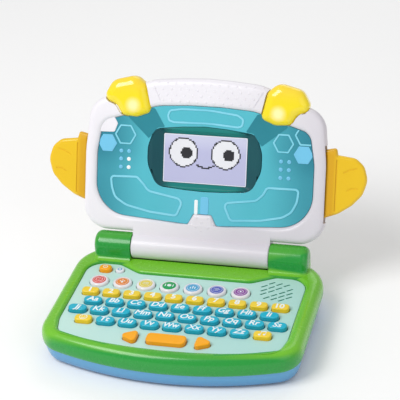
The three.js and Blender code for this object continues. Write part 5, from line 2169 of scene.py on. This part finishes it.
    def _lamp(self, name: str, side: int) -> None:
        """One translucent lamp on an upper corner."""
        outline = Outline.rounded(self.lamp_corners)
        levels = [
            (6.5, -11.4), (4.2, -10.9), (2.4, -9.7), (1.1, -8.2), (0.3, -6.6), (0.0, -5.0), (0.0, 0.8),
            (0.3, 2.2), (1.1, 3.7), (2.4, 5.1), (4.4, 6.3), (6.6, 7.1), (8.2, 7.4),
        ]
        shape = Solid.block(outline, (73.0, 139.0), levels)
        lamp = self._side(shape, side).thing(f"lamp_{name}")
        socket = Solid.slab(Outline.circle(side * 74, 136, 4), -20, 0.6)
        self.shop.work(lamp, (Joining.CUT, socket))
        heart = self.place.point(side * 67.2, 130.5, 7.0)
        plastic = LampPlastic(f"lamp_{name}_yellow", heart, self.place.along)
        self.shop.place(lamp, self.place, plastic.material())
        self.shop.fit(lamp, "lid", "lamp_yellow", [f"antenna_lamp_{name}"])

    def _ear(self, name: str, side: int) -> None:
        """One ear: a rod in the lid's side and a rounded blade with a ribbed root."""
        outline = Outline.rounded(self.ear_corners)
        low, high = self.ear_n - 3.5, self.ear_n + 3.5
        levels = [
            (2.8, low), (1.6, low + 0.35), (0.8, low + 1.0), (0.25, low + 2.0), (0.0, self.ear_n),
            (0.25, high - 2.0), (0.8, high - 1.0), (1.6, high - 0.35), (2.8, high),
        ]
        blade = Solid.block(outline, (125.0, 70.0), levels)
        web = Solid.slab(Outline.box(self.ear_pivot, 41, 114, 97.5), self.ear_n - 1.6, self.ear_n + 1.6)
        rod = Solid.bar(2.6, 31.4, 107.6, 0, 0, 24)
        rod = Solid([(y + self.ear_pivot, x, z + self.ear_n) for x, y, z in rod.vertices], rod.faces)
        ear = self._side(blade, side).thing(f"{name}_ear")
        strip = Outline([(120.4, 46), (121.6, 46), (121.6, 92), (120.4, 92)])
        groove = Solid.slab(strip, high - 0.7, high + 2)
        folds = [
            Outline([(127.6, 80.4), (133.2, 83.4), (139.4, 85.0), (139.2, 86.0), (132.8, 84.6),
                     (127.2, 81.4)]),
            Outline([(131.2, 64.5), (135.8, 66.8), (141.2, 66.8), (141.2, 67.9), (135.4, 68.0),
                     (130.8, 65.5)]),
        ]
        crease = Solid.slab(folds[0], high - 0.5, high + 2) + Solid.slab(folds[1], high - 0.5, high + 2)
        self.shop.work(
            ear,
            (Joining.ADD, self._side(web, side)),
            (Joining.ADD, self._side(rod, side)),
            (Joining.CUT, self._side(groove, side)),
            (Joining.CUT, self._side(crease, side)),
        )
        here = self.place
        finish = Blend(
            f"ear_{name}_yellow", Hue.EAR_ROOT, Hue.EAR, here.across, here.origin, 117, 123, 0.32, 0.25, True
        )
        self.shop.place(ear, self.place, finish.material())
        self.shop.fit(ear, f"ear_{name}", "ear_yellow", [f"ear_{name}"])


# ---- Inside, stage and main ----


def dress_inner_nodes() -> None:
    """Gives the carried-over inner pieces their finishes."""
    ends = {1: 1.0, 2: -1.0, 3: 1.0}
    cells = {f"battery_cell_{i}": CellJacket(f"cell_jacket_{i}", end) for i, end in ends.items()}
    pins = {f"hinge_pin_{side}": BrushedSteel(f"pin_steel_{side}") for side in ("left", "right")}
    lights = {
        f"lamp_light_{side}": Moulded(f"light_white_{side}", Hue.LAMP_HEART, None, 0.2)
        for side in ("left", "right")
    }
    others = {
        "main_circuit_board": CircuitBoard("solder_mask"),
        "rubber_key_mat": Rubber("mat_rubber"),
        "loudspeaker": Rubber("speaker_paper"),
        "lcd_module": Moulded("module_grey", Hue.JACKET, None, 0.4, 0.1),
    }
    for node, finish in {**cells, **pins, **lights, **others}.items():
        slots = frame["nodes"][node].data.materials
        slots.clear()
        slots.append(finish.material())


@dataclass
class Studio:
    """The floor, the lights and the camera."""

    target: Vector = field(default_factory=lambda: Vector((0.01455, 0.00003, 0.12403)))
    azimuth: float = math.radians(15.739)
    elevation: float = math.radians(30.051)
    roll: float = math.radians(3.707)
    distance: float = 1.43054
    lens: float = 148.737

    def build(self) -> None:
        """Sets the scene for the picture."""
        floor = Solid([(-4, -4, 0), (4, -4, 0), (4, 4, 0), (-4, 4, 0)], [(0, 1, 2, 3)]).thing("floor")
        floor.data.materials.append(Moulded("floor_white", Hue.FLOOR, Hue.FLOOR, 0.8, 0.0, 0.0).material())
        self._camera()
        self._world()
        self._lamp("key", (-0.75, -0.85, 1.45), 18.0, 0.9)
        self._lamp("fill", (1.3, -0.9, 0.8), 3.0, 1.2)
        self._lamp("back", (0.1, 1.3, 1.2), 4.0, 1.0)
        scene = bpy.context.scene
        scene.view_settings.view_transform = "Standard"
        scene.view_settings.look = "None"

    def _camera(self) -> None:
        """The camera at the picture's viewing angle."""
        level = math.cos(self.elevation)
        swing, rise = self.azimuth, self.elevation
        back = Vector((math.sin(swing) * level, -math.cos(swing) * level, math.sin(rise)))
        right = Vector((math.cos(swing), math.sin(swing), 0.0))
        up = back.cross(right)
        c, s = math.cos(self.roll), math.sin(self.roll)
        x_axis, y_axis = right * c - up * s, right * s + up * c
        turn = Matrix((x_axis, y_axis, back)).transposed().to_4x4()
        data = bpy.data.cameras.new("camera")
        data.lens = self.lens
        data.sensor_width = 36.0
        data.clip_end = 20.0
        camera = bpy.data.objects.new("camera", data)
        camera.matrix_world = Matrix.Translation(self.target + back * self.distance) @ turn
        bpy.context.scene.collection.objects.link(camera)
        bpy.context.scene.camera = camera

    @staticmethod
    def _world() -> None:
        """A near-white surround."""
        world = bpy.data.worlds.new("studio")
        world.use_nodes = True
        world.node_tree.nodes["Background"].inputs["Color"].default_value = (1.0, 1.0, 1.0, 1.0)
        world.node_tree.nodes["Background"].inputs["Strength"].default_value = 0.5
        bpy.context.scene.world = world

    def _lamp(self, name: str, spot: tuple[float, float, float], power: float, size: float) -> None:
        """One soft area light that faces the object."""
        data = bpy.data.lights.new(name, "AREA")
        data.energy = power
        data.size = size
        light = bpy.data.objects.new(name, data)
        light.location = spot
        light.rotation_euler = (self.target - Vector(spot)).to_track_quat("-Z", "Y").to_euler()
        bpy.context.scene.collection.objects.link(light)


def main() -> None:
    """Builds the whole object and its studio."""
    logging.basicConfig(level=logging.INFO)
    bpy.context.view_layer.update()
    shop, trees = Workshop(), Trees()
    low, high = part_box("letter_keys_a_to_i")
    flat = Place(
        Vector((0.0, (low.y + high.y) / 2, 0.0)), Vector((1, 0, 0)), Vector((0, 1, 0)), Vector((0, 0, 1))
    )
    joints = {joint["name"]: joint for joint in frame["joints"]}
    up = Vector(joints["ear_left_wave"]["axis"]).normalized()
    across = Vector((1.0, 0.0, 0.0))
    lid = Place(Vector(joints["lid_hinge"]["pos_m"]), across, up, across.cross(up))
    Base(shop, trees, flat).build()
    Keyboard(shop, trees, flat, Base.plate_outline()).build()
    Lid(shop, trees, lid).build()
    dress_inner_nodes()
    Studio().build()


if __name__ == "__main__":
    main()
